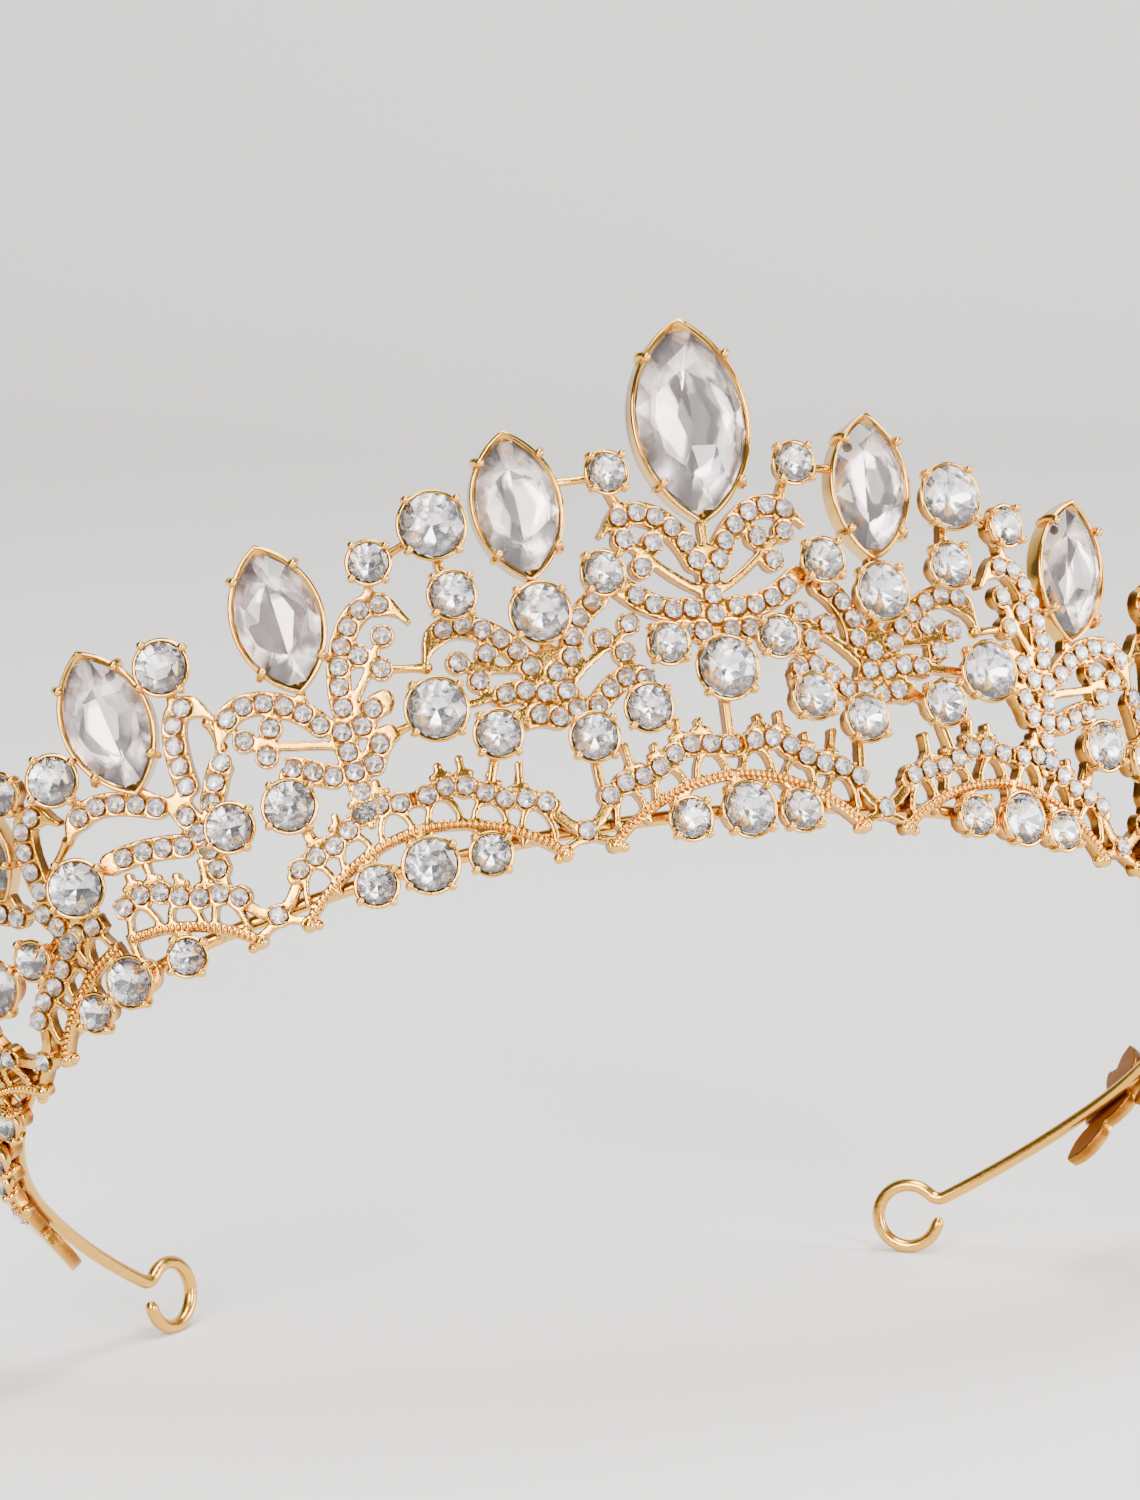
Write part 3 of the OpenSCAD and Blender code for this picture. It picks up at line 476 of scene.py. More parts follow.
def scatter_tree():
    """Sets a shape on every point: turned by 'turn', spun at random about its axis, scaled by 'size'."""
    tree, given, result = new_tree("set on points", [
        ("Shape", "NodeSocketObject", None), ("Spin", "NodeSocketFloat", 0.0),
        ("Seed", "NodeSocketInt", 1),
        ("Front", "NodeSocketMaterial", None), ("Back", "NodeSocketMaterial", None)])
    shape = add(tree, "GeometryNodeObjectInfo", {"transform_space": "ORIGINAL"},
                {"Object": given.outputs["Shape"], "As Instance": True})
    spin = add(tree, "FunctionNodeRandomValue", {"data_type": "FLOAT"}, {"Seed": given.outputs["Seed"]})
    spin.inputs[2].default_value = 0.0
    tree.links.new(given.outputs["Spin"], spin.inputs[3])
    turned = add(tree, "FunctionNodeEulerToRotation", {}, {"Euler": attribute(tree, "turn", "FLOAT_VECTOR")})
    about = add(tree, "FunctionNodeAxisAngleToRotation", {}, {"Axis": (0, 0, 1), "Angle": spin.outputs[1]})
    both = add(tree, "FunctionNodeRotateRotation", {"rotation_space": "LOCAL"},
               {"Rotation": turned.outputs[0], "Rotate By": about.outputs[0]})
    cloud = add(tree, "GeometryNodeMeshToPoints", {}, {"Mesh": given.outputs["Geometry"]})
    laid = add(tree, "GeometryNodeInstanceOnPoints", {}, {
        "Points": cloud.outputs[0], "Instance": shape.outputs["Geometry"], "Rotation": both.outputs[0],
        "Scale": attribute(tree, "size", "FLOAT_VECTOR")})
    real = add(tree, "GeometryNodeRealizeInstances", {}, {"Geometry": laid.outputs[0]})
    front = add(tree, "GeometryNodeSetMaterial", {}, {"Geometry": real.outputs[0],
                                                      "Material": given.outputs["Front"]})
    back = add(tree, "GeometryNodeSetMaterial", {}, {
        "Geometry": front.outputs[0], "Selection": attribute(tree, "back", "BOOLEAN"),
        "Material": given.outputs["Back"]})
    tree.links.new(back.outputs[0], result.inputs[0])
    return tree


SCATTER = scatter_tree()
hidden = bpy.data.collections.new("shapes to repeat")


def shape_object(name, data):
    """An object that only lends its shape to a tree, so it is never linked to the scene."""
    made = bpy.data.objects.new(name, data)
    hidden.objects.link(made)
    return made


def evaluated(made):
    """The plain mesh of an object with its modifiers applied."""
    bpy.context.view_layer.update()
    return bpy.data.meshes.new_from_object(made.evaluated_get(bpy.context.evaluated_depsgraph_get()))


def run_tree(source, tree, name, values):
    """Runs a tree on a mesh with its inputs set by name, and returns the plain mesh it makes."""
    holder = linked("holder", source)
    modifier = holder.modifiers.new("tree", "NODES")
    modifier.node_group = tree
    sockets = {s.name: s.identifier for s in tree.interface.items_tree if s.in_out == "INPUT"}
    for key, value in values.items():
        modifier[sockets[key]] = value
    done = evaluated(holder)
    holder.modifiers.remove(modifier)
    bpy.data.objects.remove(holder)
    done.name = name
    return done


def cloud(points, turns, sizes):
    """A mesh of loose points with a turn and a size on each."""
    data = bpy.data.meshes.new("cloud")
    data.from_pydata([tuple(p) for p in points], [], [])
    turn = data.attributes.new("turn", "FLOAT_VECTOR", "POINT")
    size = data.attributes.new("size", "FLOAT_VECTOR", "POINT")
    turn.data.foreach_set("vector", [c for t in turns for c in t])
    size.data.foreach_set("vector", [c for s in sizes for c in s])
    return data


def facing(axis, along=None):
    """Euler turn that points a shape's z at axis, and its x as near as can be to along."""
    z = Vector(axis).normalized()
    x = Vector(along) if along is not None else Vector((0, 0, 1)).cross(z)
    x = (x - z * x.dot(z)).normalized()
    return Matrix((x, z.cross(x), z)).transposed().to_euler()


def piece(name, data, slot, *nodes, smooth=None):
    """A finished piece in the scene: it rides on the body, and the CAD nodes it replaces are hidden."""
    made = linked(name, data)
    if smooth is not None:
        data.polygons.foreach_set("use_smooth", [smooth] * len(data.polygons))
    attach(made, "root")
    if nodes:
        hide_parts(*nodes)
    print(name, triangles(data), "triangles")


def triangles(data):
    return sum(len(p.vertices) - 2 for p in data.polygons)

# %% [markdown]
# ## Round stones
# The stones in the cups are brilliant cut, from 3.6 to 6.6 mm across. Each is the same cut at its own
# size, because a maker buys one cut in many sizes.

# %%  Set the round stones
def set_stones(places, shape, up, seed, back, slot):
    """One cut on every place of each node, with its girdle that far up the axis."""
    for node, found in places.items():
        source = cloud([c + a * up for c, a, _ in found], [facing(a) for _, a, _ in found],
                       [(r, r, r) for _, _, r in found])
        data = run_tree(source, SCATTER, node + "_cut", {
            "Shape": shape, "Spin": math.tau, "Seed": seed, "Front": CLEAR, "Back": back})
        piece(node + "_cut", data, slot, node)


ROUND = shape_object("round stone", round_cut("round stone", 8, [CLEAR, SILVER]))
SEAT_UP = 0.30 * MM  # height of the girdle above the CAD stone's lower rim
set_stones(rounds, ROUND, SEAT_UP, 7, SILVER, "round_glass")

# %% [markdown]
# ## Small stones
# The rows of small stones are 1.9 mm across. They are pressed, not cut, so their facets are few.

# %%  Set the small stones
SMALL = shape_object("small stone", small_cut("small stone", [CLEAR, FOIL]))
SMALL_UP = 0.98 * MM  # height of the girdle above the foot of the CAD stone
set_stones(smalls, SMALL, SMALL_UP, 11, FOIL, "small_glass")

# %% [markdown]
# ## Marquise stones
# A marquise is a boat-shaped stone. Its crown has a long table and two rows of facets that meet at the
# tips, and its back comes to a keel instead of a point, which is what draws bright lines down its
# length. The hull of points works here too, on the outline's two arcs instead of a circle.

# %%  Cut and set the marquise stones
def marquise_point(t, length, width):
    """Point of the outline at share t of the way round, starting from the upper tip."""
    r = (length * length + width * width) / (4 * width)
    half = math.asin(length / 2 / r)
    side = 1 if t % 1 < 0.5 else -1
    a = half * (1 - 4 * (t % 0.5))
    return side * (r * math.cos(a) - r + width / 2), side * r * math.sin(a)


def marquise_ring(count, length, width, share, height, turn=0.0):
    return [(x * share, y * share, height) for x, y in
            (marquise_point((i + turn) / count, length, width) for i in range(count))]


def marquise_frame(node):
    """Middle of a CAD marquise's lower girdle, its across, long and outward directions, and its sizes."""
    points, faces = merged(node)
    out = -widest_face(points, faces)
    middle = (points.min(0) + points.max(0)) / 2
    flat = (points - points.mean(0)) - np.outer((points - points.mean(0)) @ out, out)
    _, vectors = np.linalg.eigh(flat.T @ flat)
    long = vectors[:, 2] * np.sign(vectors[2, 2])
    across = np.cross(long, out)
    high = points @ out
    base = points[high < high.min() + 1e-5]
    length = np.ptp(base @ long)
    width = np.ptp(base @ across)
    middle = sum(((d @ base.T).max() + (d @ base.T).min()) / 2 * d for d in (long, across)) + out * high.min()
    return [Vector(v) for v in (middle, across, long, out)] + [length, width, np.ptp(high)]


GIRDLE_UP, GIRDLE_HALF = 1.15 * MM, 0.12 * MM  # height of the girdle's middle, and half its band


def marquise_cut(name, length, width, height, finishes):
    """A marquise of the given sizes, with its foot at zero."""
    rise = height - GIRDLE_UP
    rings = [marquise_ring(6, length, width, 0.42, height, 0.5),
             marquise_ring(12, length, width, 0.74, GIRDLE_UP + rise * 0.58),
             marquise_ring(16, length, width, 0.985, GIRDLE_UP + GIRDLE_HALF, 0.5),
             marquise_ring(16, length, width, 0.985, GIRDLE_UP - GIRDLE_HALF, 0.5),
             marquise_ring(12, length, width, 0.62, GIRDLE_UP * 0.36),
             [(0, y * length * 0.24, 0.05 * MM) for y in (-1, 0, 1)]]
    return hull_stone(name, rings, finishes)


marquises = {}
for node in sorted(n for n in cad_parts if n.startswith("marquise_") and "cup" not in n):
    middle, across, long, out, length, width, height = marquises[node] = marquise_frame(node)
    data = marquise_cut(node + "_cut", length, width, height, [BLUSH, BLUSH_SILVER])
    data.transform(Matrix.Translation(middle) @ Matrix((across, long, out)).transposed().to_4x4())
    piece(node + "_cut", data, "marquise_glass", node)
    print(node, round(length / MM, 1), "x", round(width / MM, 1), "mm,", len(data.polygons), "facets")

# %% [markdown]
# ## Castings
# A casting is modelled in wax, so it has no sharp edge: every scroll is round, and where two scrolls
# meet there is a soft fillet. The CAD castings are flat plates with the right outline. One way to
# soften a plate is to bevel its edges, but a plate with this many corners folds over itself. A voxel
# remesh of a copy, then a few rounds of smoothing, melts the outline into the shape of a wax.
# The seats of the small stones are filled first, up to where the stones sit.

# %%  Soften the castings
VOXEL = 0.15 * MM
CAST_KEEP = 0.45  # share of a casting's triangles that is kept
SEAT_FILL_TOP = 0.42 * MM  # the fill stops this far above a small stone's foot
SEAT_R, SEAT_REACH = 1.02 * MM, 1.2 * MM  # radius of the fill, and how near its stone has to be
# depths that set the painted shade of the castings' hollows
HOLLOW_FROM, HOLLOW_DEEP = 0.75 * MM, 0.9 * MM  # height where hollows start, and their full depth
CASTINGS = [n for start in ("fan_", "lace_arch", "lace_joiners", "end_leaf")
            for n in sorted(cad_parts) if n.startswith(start)]
all_smalls = [s for found in smalls.values() for s in found]


def inside(box, point, margin):
    lo, hi = box
    return all(lo[i] - margin < point[i] < hi[i] + margin for i in range(3))


def seat_fill(mesh, foot, axis, radius):
    """A plug that fills a seat up to the underside of its stone."""
    turn = Matrix.Translation(foot + axis * SEAT_FILL_TOP / 2) @ facing(axis).to_matrix().to_4x4()
    bmesh.ops.create_cone(mesh, cap_ends=True, segments=12, radius1=radius, radius2=radius,
                          depth=SEAT_FILL_TOP * 1.4, matrix=turn)


def hollow_of(data, fronts):
    """Stores how deep each point lies behind the casting's front, from 0 at the front to 1; it sets the
    painted shade in the hollows.
    """
    points = np.empty(len(data.vertices) * 3, np.float32)
    data.vertices.foreach_get("co", points)
    points = points.reshape(-1, 3)
    feet = np.array([f for f, _ in fronts])
    outs = np.array([o for _, o in fronts])
    nearest = np.empty(len(points), int)
    for start in range(0, len(points), 4000):
        gap = points[start:start + 4000, None] - feet[None]
        nearest[start:start + 4000] = (gap * gap).sum(2).argmin(1)
    height = ((points - feet[nearest]) * outs[nearest]).sum(1)
    deep = np.clip((HOLLOW_FROM - height) / HOLLOW_DEEP, 0, 1)
    layer = data.attributes.new("hollow", "FLOAT", "POINT")
    layer.data.foreach_set("value", deep.astype(np.float32))


def soften(node):
    """A rounded, wax-like copy of a CAD casting."""
    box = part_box(node)
    fronts = [(c, a) for c, a, _ in all_smalls if inside(box, c, SEAT_REACH)]
    mesh = welded(node)
    for foot, axis in fronts:
        seat_fill(mesh, foot, axis, SEAT_R)
    data = plain(mesh, "raw casting")
    data.materials.clear()
    holder = linked("holder", data)
    remesh = holder.modifiers.new("voxels", "REMESH")
    remesh.mode, remesh.voxel_size = "VOXEL", VOXEL
    smooth = holder.modifiers.new("soften", "SMOOTH")
    smooth.factor, smooth.iterations = 0.5, 7
    thin = holder.modifiers.new("thin", "DECIMATE")
    thin.ratio = CAST_KEEP
    done = evaluated(holder)
    bpy.data.objects.remove(holder)
    hollow_of(done, fronts or [(c, a) for c, a, _ in all_smalls])
    done.materials.append(GOLD)
    return done


for node in CASTINGS:
    data = soften(node)
    piece(node + "_cast", data, "cast_gold", node, smooth=True)

# %% [markdown]
# ## Grains between the stones
# In a row of small stones, little grains of metal are raised beside each stone and pressed over its
# edge. Two grains stand at every gap between two neighbours in a row, and a stone that stands alone
# has four round it. The neighbours are found from the places of the stones.

# %%  Raise the grains
ball = bmesh.new()
bmesh.ops.create_icosphere(ball, subdivisions=2, radius=1.0)
ball_data = plain(ball, "bead")
ball_data.polygons.foreach_set("use_smooth", [True] * len(ball_data.polygons))
BEAD = shape_object("bead", ball_data)
ROW_REACH = 2.45 * MM  # stones nearer than this are neighbours in a row
GRAIN_UP = 0.82 * MM  # height of a grain's middle above the stones' feet
GRAIN_R = 0.21 * MM  # radius of a grain
GRAIN_SIDE, GRAIN_RING = 0.92, 1.10  # from the row's line, and from a lone stone's middle, in mm


def grains_for(found):
    """Places, turns and sizes of the grains for one node's small stones."""
    spots = []
    for i, (foot, axis, _) in enumerate(found):
        neighbours = [j for j, other in enumerate(found)
                      if j != i and (other[0] - foot).length < ROW_REACH]
        for j in neighbours:
            if j < i:
                continue
            middle = (foot + found[j][0]) / 2 + axis * GRAIN_UP
            side = axis.cross(found[j][0] - foot).normalized()
            spots += [(middle + side * k * GRAIN_SIDE * MM, axis, GRAIN_R) for k in (-1, 1)]
        if len(neighbours) < 2:
            toward = (found[neighbours[0]][0] - foot) if neighbours else Vector((0, 0, 1))
            along = (toward - axis * toward.dot(axis)).normalized()
            across = axis.cross(along)
            for a in ((135, 225) if neighbours else (45, 135, 225, 315)):
                out = along * math.cos(math.radians(a)) + across * math.sin(math.radians(a))
                spots.append((foot + axis * GRAIN_UP + out * GRAIN_RING * MM, axis, GRAIN_R))
    return spots


def beads(name, spots, slot, finish, squash=(1, 1, 1)):
    """Beads at (place, axis, radius), or (place, axis, radius, along), as one piece."""
    turns = [facing(s[1], s[3] if len(s) > 3 else None) for s in spots]
    source = cloud([s[0] for s in spots], turns, [tuple(s[2] * k for k in squash) for s in spots])
    data = run_tree(source, SCATTER, name, {"Shape": BEAD, "Seed": 3, "Front": finish, "Back": finish})
    piece(name, data, slot)
    print(name, len(spots), "beads")


for node, found in smalls.items():
    beads(node.replace("small_stones", "grains"), grains_for(found), "cast_gold", GOLD)

# %% [markdown]
# ## The lace edge
# The lower edge is the finest work on a tiara. Its arch line is a rope of tiny notched beads, and its
# feet end in pairs of balls. The finials on its row are made further down, when there are tubes. All
# of them follow the arch's own formula, so one function places them for each arch.

# %%  Rope and feet
ROW_FOOT, ROW_RISE, ROW_WAVE = 3.6, 4.8, 0.5  # the row's height at its ends, its rise and its wave
ROPE_PITCH, ROPE_BEAD = 0.62, 0.50  # spacing and radius of the rope's beads
ROPE_SQUASH = (0.58, 1.0, 0.9)  # along the rope, across it and outwards
FOOT_BIG, FOOT_SMALL = 0.80, 0.58  # radii of a foot's two balls


def half_of(k):
    return ARCH_HALF - ARCH_STEP * (0 if k == 0 else k - 0.7)


def arch_centre(k):
    return 0 if k == 0 else arch_centre(k - 1) + half_of(k - 1) + ARCH_GAP + half_of(k)


def arch_v(u, a):
    r = (a * a + ARCH_RISE * ARCH_RISE) / (2 * ARCH_RISE)
    return math.sqrt(r * r - u * u) - r + ARCH_RISE + FOOT_V


def row_v(u, a):
    return ROW_FOOT + ROW_RISE * (1 - u * u / a / a) - ROW_WAVE * math.cos(math.tau * 1.6 * u / a)


def lace_place(k, side, u, v, w):
    """Place on the arch k, which is bent over the band in two flat halves."""
    a = half_of(k)
    if k == 0:
        return place(a / 2, -1 if u < 0 else 1, abs(u) - a / 2, v, w)
    half = -1 if u < 0 else 1
    return place(arch_centre(k) + half * a / 2, side, u - half * a / 2, v, w)


def lace_out(k, side, u, v):
    return (lace_place(k, side, u, v, 2) - lace_place(k, side, u, v, 1)).normalized()


def rope_spots(k, side):
    """Beads of the rope along an arch line, squashed along it."""
    a = half_of(k)
    spots, u = [], -a
    while u <= a:
        here = lace_place(k, side, u, arch_v(u, a), PLATE_T)
        ahead = lace_place(k, side, u + 0.05, arch_v(min(u + 0.05, a), a), PLATE_T)
        spots.append((here, lace_out(k, side, u, 0), ROPE_BEAD * MM, ahead - here))
        slope = (arch_v(min(u + 0.1, a), a) - arch_v(u, a)) / 0.1
        u += ROPE_PITCH / math.hypot(1, slope)
    return spots


def foot_spots(k, side):
    """Two balls at each foot of an arch."""
    a = half_of(k)
    spots = []
    for x in (-1, 1):
        out = lace_out(k, side, x * a * 0.99, 0)
        for u, v, r in ((x * a * 0.995, FOOT_V - 0.1, FOOT_BIG), (x * (a - 0.9), FOOT_V - 0.35, FOOT_SMALL)):
            spots.append((lace_place(k, side, u, v, PLATE_T * 0.75), out, r * MM))
    return spots


LACE_SIDES = [(0, 1)] + [(k, side) for k in (1, 2, 3) for side in (-1, 1)]
beads("lace_rope", [s for k, side in LACE_SIDES for s in rope_spots(k, side)], "cast_gold", GOLD,
      ROPE_SQUASH)
beads("lace_feet", [s for k, side in LACE_SIDES for s in foot_spots(k, side)], "cast_gold", GOLD)

# %% [markdown]
# ## Tubes
# Prong arms, tie bars and the band are all a round section carried along a line. One more tree does
# them: the edges of a mesh become curves, the point attribute `thick` sets the radius, and the ends
# are capped.

# %%  The tube tree
def tube_tree():
    tree, given, result = new_tree("carry a circle", [
        ("Sides", "NodeSocketInt", 10), ("Material", "NodeSocketMaterial", None)])
    line = add(tree, "GeometryNodeMeshToCurve", {}, {"Mesh": given.outputs["Geometry"]})
    thick = add(tree, "GeometryNodeSetCurveRadius", {}, {
        "Curve": line.outputs[0], "Radius": attribute(tree, "thick", "FLOAT")})
    ring = add(tree, "GeometryNodeCurvePrimitiveCircle", {}, {
        "Resolution": given.outputs["Sides"], "Radius": 1.0})
    swept = add(tree, "GeometryNodeCurveToMesh", {}, {
        "Curve": thick.outputs[0], "Profile Curve": ring.outputs[0], "Fill Caps": True})
    if "Scale" in swept.inputs:
        tree.links.new(attribute(tree, "thick", "FLOAT"), swept.inputs["Scale"])
    real = add(tree, "GeometryNodeRealizeInstances", {}, {"Geometry": swept.outputs[0]})
    dressed = add(tree, "GeometryNodeSetMaterial", {}, {"Geometry": real.outputs[0],
                                                        "Material": given.outputs["Material"]})
    smooth = add(tree, "GeometryNodeSetShadeSmooth", {}, {"Geometry": dressed.outputs[0]})
    tree.links.new(smooth.outputs[0], result.inputs[0])
    return tree


TUBES = tube_tree()


def tubes(name, lines, sides, finish):
    """Round bars along lines of (point, radius), as one mesh with capped ends."""
    data = bpy.data.meshes.new(name)
    points = [tuple(p) for line in lines for p, _ in line]
    edges, start = [], 0
    for line in lines:
        edges += [(start + i, start + i + 1) for i in range(len(line) - 1)]
        start += len(line)
    data.from_pydata(points, edges, [])
    thick = data.attributes.new("thick", "FLOAT", "POINT")
    thick.data.foreach_set("value", [r for line in lines for _, r in line])
    return run_tree(data, TUBES, name, {"Sides": sides, "Material": finish})


# %% [markdown]
# ## Cups
# A cup is a turned, open-backed cone. Four arms are raised from its foot, and each ends in a ball that
# is bent over the stone's edge. The wall is the same for every size, so it is lofted from rings at the
# stone's own radius instead of being scaled, which would make big cups thick.

# %%  Turn the cups
CUP_WALL, CUP_FLOOR, CUP_H = 0.4 * MM, 0.5 * MM, 1.9 * MM
SEAT_H = CUP_H * 0.7  # height of the stone's lower rim above the cup's foot
CUP_GAP = 0.05 * MM  # between the stone and the wall
CUP_FOOT, CUP_HOLE = 0.72, 0.34  # radii of the foot and of the open back, over the stone's
PRONG_BALL, BALL_UP = 0.46 * MM, 1.47  # radius of a prong's ball, and its height over SEAT_H
PRONG_TURNS = (45, 135, 225, 315)
ARM_STEPS = [(0.62, 0.15, 0.26), (0.86, 0.45, 0.34), (1.0, 0.80, 0.42), (1.04, 1.15, 0.42),
             (1.0, 1.38, 0.36)]  # share of the way out, height over SEAT_H, radius in mm


def cup_profile(radius):
    """Closed outline of the cup's wall as (radius, height), with a rolled lip."""
    inner = radius + CUP_GAP
    top = inner + CUP_WALL
    foot, hole = radius * CUP_FOOT, radius * CUP_HOLE
    lip = SEAT_H + 0.30 * MM
    return [(hole, 0), (foot * 0.96, 0), (foot, 0.1 * MM), (top * 0.93, SEAT_H * 0.72),
            (top, SEAT_H), (top, lip - 0.12 * MM), (top - 0.12 * MM, lip), (inner + 0.1 * MM, lip),
            (inner, lip - 0.1 * MM), (inner, SEAT_H), (foot - CUP_WALL, CUP_FLOOR), (hole, CUP_FLOOR)]


def loft(mesh, loops):
    """Joins closed loops of points by faces, each to the next and the last to the first."""
    loops = [[mesh.verts.new(point) for point in loop] for loop in loops]
    for i, loop in enumerate(loops):
        after = loops[(i + 1) % len(loops)]
        for j in range(len(loop)):
            k = (j + 1) % len(loop)
            mesh.faces.new((loop[j], after[j], after[k], loop[k])).smooth = True


def turned(profile, segments, turn):
    """Loops of a ring with this profile, turned about z."""
    angles = [math.tau * i / segments for i in range(segments)]
    return [[turn @ Vector((r * math.cos(a), r * math.sin(a), z)) for r, z in profile] for a in angles]


def cup_data(name, mesh):
    """Plain mesh data of lofted cups, with their faces turned outwards and the cups' finish."""
    bmesh.ops.recalc_face_normals(mesh, faces=mesh.faces)
    data = plain(mesh, name)
    data.materials.append(CUP)
    return data


def cup_piece(node, found):
    """The cups of one node, with their arms and balls."""
    mesh = bmesh.new()
    arms, balls = [], []
    for girdle, axis, radius in found:
        turn = Matrix.Translation(girdle - axis * SEAT_H) @ facing(axis).to_matrix().to_4x4()
        loft(mesh, turned(cup_profile(radius), 28, turn))
        foot, reach = radius * CUP_FOOT, radius + CUP_GAP + CUP_WALL
        for a in (math.radians(d) for d in PRONG_TURNS):
            out = Vector((math.cos(a), math.sin(a), 0))
            arms.append([(turn @ (out * (foot + (reach - foot) * f) + Vector((0, 0, h * SEAT_H))), r * MM)
                         for f, h, r in ARM_STEPS])
            tip = out * (reach - CUP_GAP) + Vector((0, 0, SEAT_H * BALL_UP))
            balls.append((turn @ tip, axis, PRONG_BALL))
    data = cup_data(node + "_turned", mesh)
    piece(node + "_turned", data, "cup_gold", node)
    piece(node + "_arms", tubes(node + "_arms", arms, 8, CUP), "cup_gold")
    beads(node + "_balls", balls, "cup_gold", CUP)
    print(node, len(found), "cups")


for stones, cups in ROUND_NODES.items():
    cup_piece(cups, rounds[stones])

# %% [markdown]
# ## Marquise cups
# The marquise sits in a boat-shaped collar. Its wall is one profile carried round the outline, so the
# collar is as thick at the tips as at the sides. Four ball prongs hold the stone near its ends.

# %%  Form the marquise cups
COLLAR_T, LEDGE = 0.45, 0.8  # the collar's wall, and the height of the stone's ledge, in mm
CLAW_SHARES = (0.615, 0.885, 0.385, 0.115)  # places of the prongs, as shares of the way round
CLAW_STEPS = [(0.30, 0.2, 0.35), (0.62, 0.9, 0.42), (0.78, 1.8, 0.45), (0.70, 2.5, 0.42),
              (0.42, 2.95, 0.36)]  # how far out from the stone, height and radius, in mm
CLAW_IN, CLAW_TOP, CLAW_BALL = 0.5 * MM, 3.0 * MM, 0.52 * MM  # growth, height and radius at the balls


def collar_profile():
    """Closed outline of the collar as (how far out from the stone, height), in millimetres."""
    return [(-LEDGE, 0.0), (COLLAR_T * 0.7, 0.0), (COLLAR_T, 0.25), (COLLAR_T, 1.7), (COLLAR_T + 0.08, 2.0),
            (COLLAR_T, 2.25), (0.22, 2.3), (0.05, 2.1), (0.05, LEDGE), (-LEDGE, LEDGE * 0.8)]


def collar(name, middle, across, long, out, length, width):
    """A collar round a marquise stone whose foot stands on the ledge."""
    basis = Matrix((across, long, out)).transposed()
    origin = middle - out * LEDGE * MM
    count = 48
    mesh = bmesh.new()
    loops = []
    for i in range(count):
        loop = []
        for grow, height in collar_profile():
            x, y = marquise_point(i / count, length + 2 * grow * MM, width + 2 * grow * MM)
            loop.append(origin + basis @ Vector((x, y, height * MM)))
        loops.append(loop)
    loft(mesh, loops)
    return cup_data(name, mesh), origin, basis


def marquise_prongs(origin, basis, length, width):
    """Arms and balls of the four prongs, near the two ends."""
    arms, balls = [], []
    for t in CLAW_SHARES:
        line = []
        for grow, height, radius in CLAW_STEPS:
            px, py = marquise_point(t, length + 2 * grow * MM, width + 2 * grow * MM)
            line.append((origin + basis @ Vector((px, py, height * MM)), radius * MM))
        arms.append(line)
        px, py = marquise_point(t, length + CLAW_IN, width + CLAW_IN)
        balls.append((origin + basis @ Vector((px, py, CLAW_TOP)), basis @ Vector((0, 0, 1)), CLAW_BALL))
    return arms, balls


for node, (middle, across, long, out, length, width, height) in marquises.items():
    cup = node.replace("marquise_", "marquise_cup_")
    data, origin, basis = collar(cup + "_formed", middle, across, long, out, length, width)
    piece(cup + "_formed", data, "cup_gold", cup)
    arms, balls = marquise_prongs(origin, basis, length, width)
    piece(cup + "_arms", tubes(cup + "_arms", arms, 8, CUP), "cup_gold")
    beads(cup + "_balls", balls, "cup_gold", CUP)

# %% [markdown]
# ## The band and the tie bars
# The band is one hard wire. Its line is the same as the CAD wire's, with finer steps and a true round
# section, out to the eyelet at each end. The tie bars keep their CAD solids' ends and get a blob of
# solder at each.

# %%  Draw the wire
WIRE_END = 130.02  # wire from the band's middle to the eyelet's neck
LOOP_R, LOOP_LEAN = 3.55, math.radians(30)  # the eyelet's radius and its lean inwards
NECK_R, LOOP_STOP = 1.6, 150  # the neck's radius, and the degree where the wire stops
NECK_TURN = math.degrees(math.acos(NECK_R / (NECK_R + LOOP_R)))
LOOP_MIDDLE = (NECK_R + LOOP_R) * math.sin(math.radians(NECK_TURN))


def eyelet_line():
    """The eyelet's centre line in its own plane: along the wire, then across it."""
    def turn(centre, radius, degrees):
        a = math.radians(degrees)
        return centre[0] + radius * math.cos(a), centre[1] + radius * math.sin(a)
    neck = [turn((0, NECK_R), NECK_R, -90 + a) for a in range(6, int(NECK_TURN), 6)]
    return neck + [turn((LOOP_MIDDLE, 0), LOOP_R, a) for a in
                   np.linspace(90 + NECK_TURN, -LOOP_STOP, 60)]


def wire_line():
    """Half of the band, from its middle to the open end of the eyelet, in the untilted ring."""
    count = 180
    line = [ring_point(WIRE_END * i / count, 0, WIRE_V, -WIRE_D / 2) for i in range(count + 1)]
    h = band_point(WIRE_END)[2]
    for along, over in eyelet_line():
        inward = over * math.sin(LOOP_LEAN)
        line.append(line[count] + Vector((along * math.cos(h) - inward * math.sin(h),
                                          along * math.sin(h) + inward * math.cos(h),
                                          over * math.cos(LOOP_LEAN))))
    return line


half = wire_line()
whole = [Vector((-p.x, p.y, p.z)) for p in reversed(half[1:])] + half
whole = [(WORN_TILT @ p) * MM for p in whole]
ROUND_END = [0.45, 0.8, 0.95]  # the first points' shares of the wire's radius
shares = ROUND_END + [1] * (len(whole) - 2 * len(ROUND_END)) + ROUND_END[::-1]
radii = [WIRE_D / 2 * MM * share for share in shares]
data = tubes("band_wire_drawn", [list(zip(whole, radii))], 20, WIRE)
piece("band_wire_drawn", data, "band_wire", "band_wire")
lo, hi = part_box("band_wire")
points = np.array([v.co for v in data.vertices])
print("wire box differs by, mm:", [round(float(x) / MM, 2) for x in
                                   list(points.min(0) - np.array(lo)) + list(points.max(0) - np.array(hi))])

# %%  Solder the tie bars
BAR_R, BAR_FLARE, BLOB_R = 0.45, 0.25, 0.72  # a bar's radius, its growth at the ends, the solder's


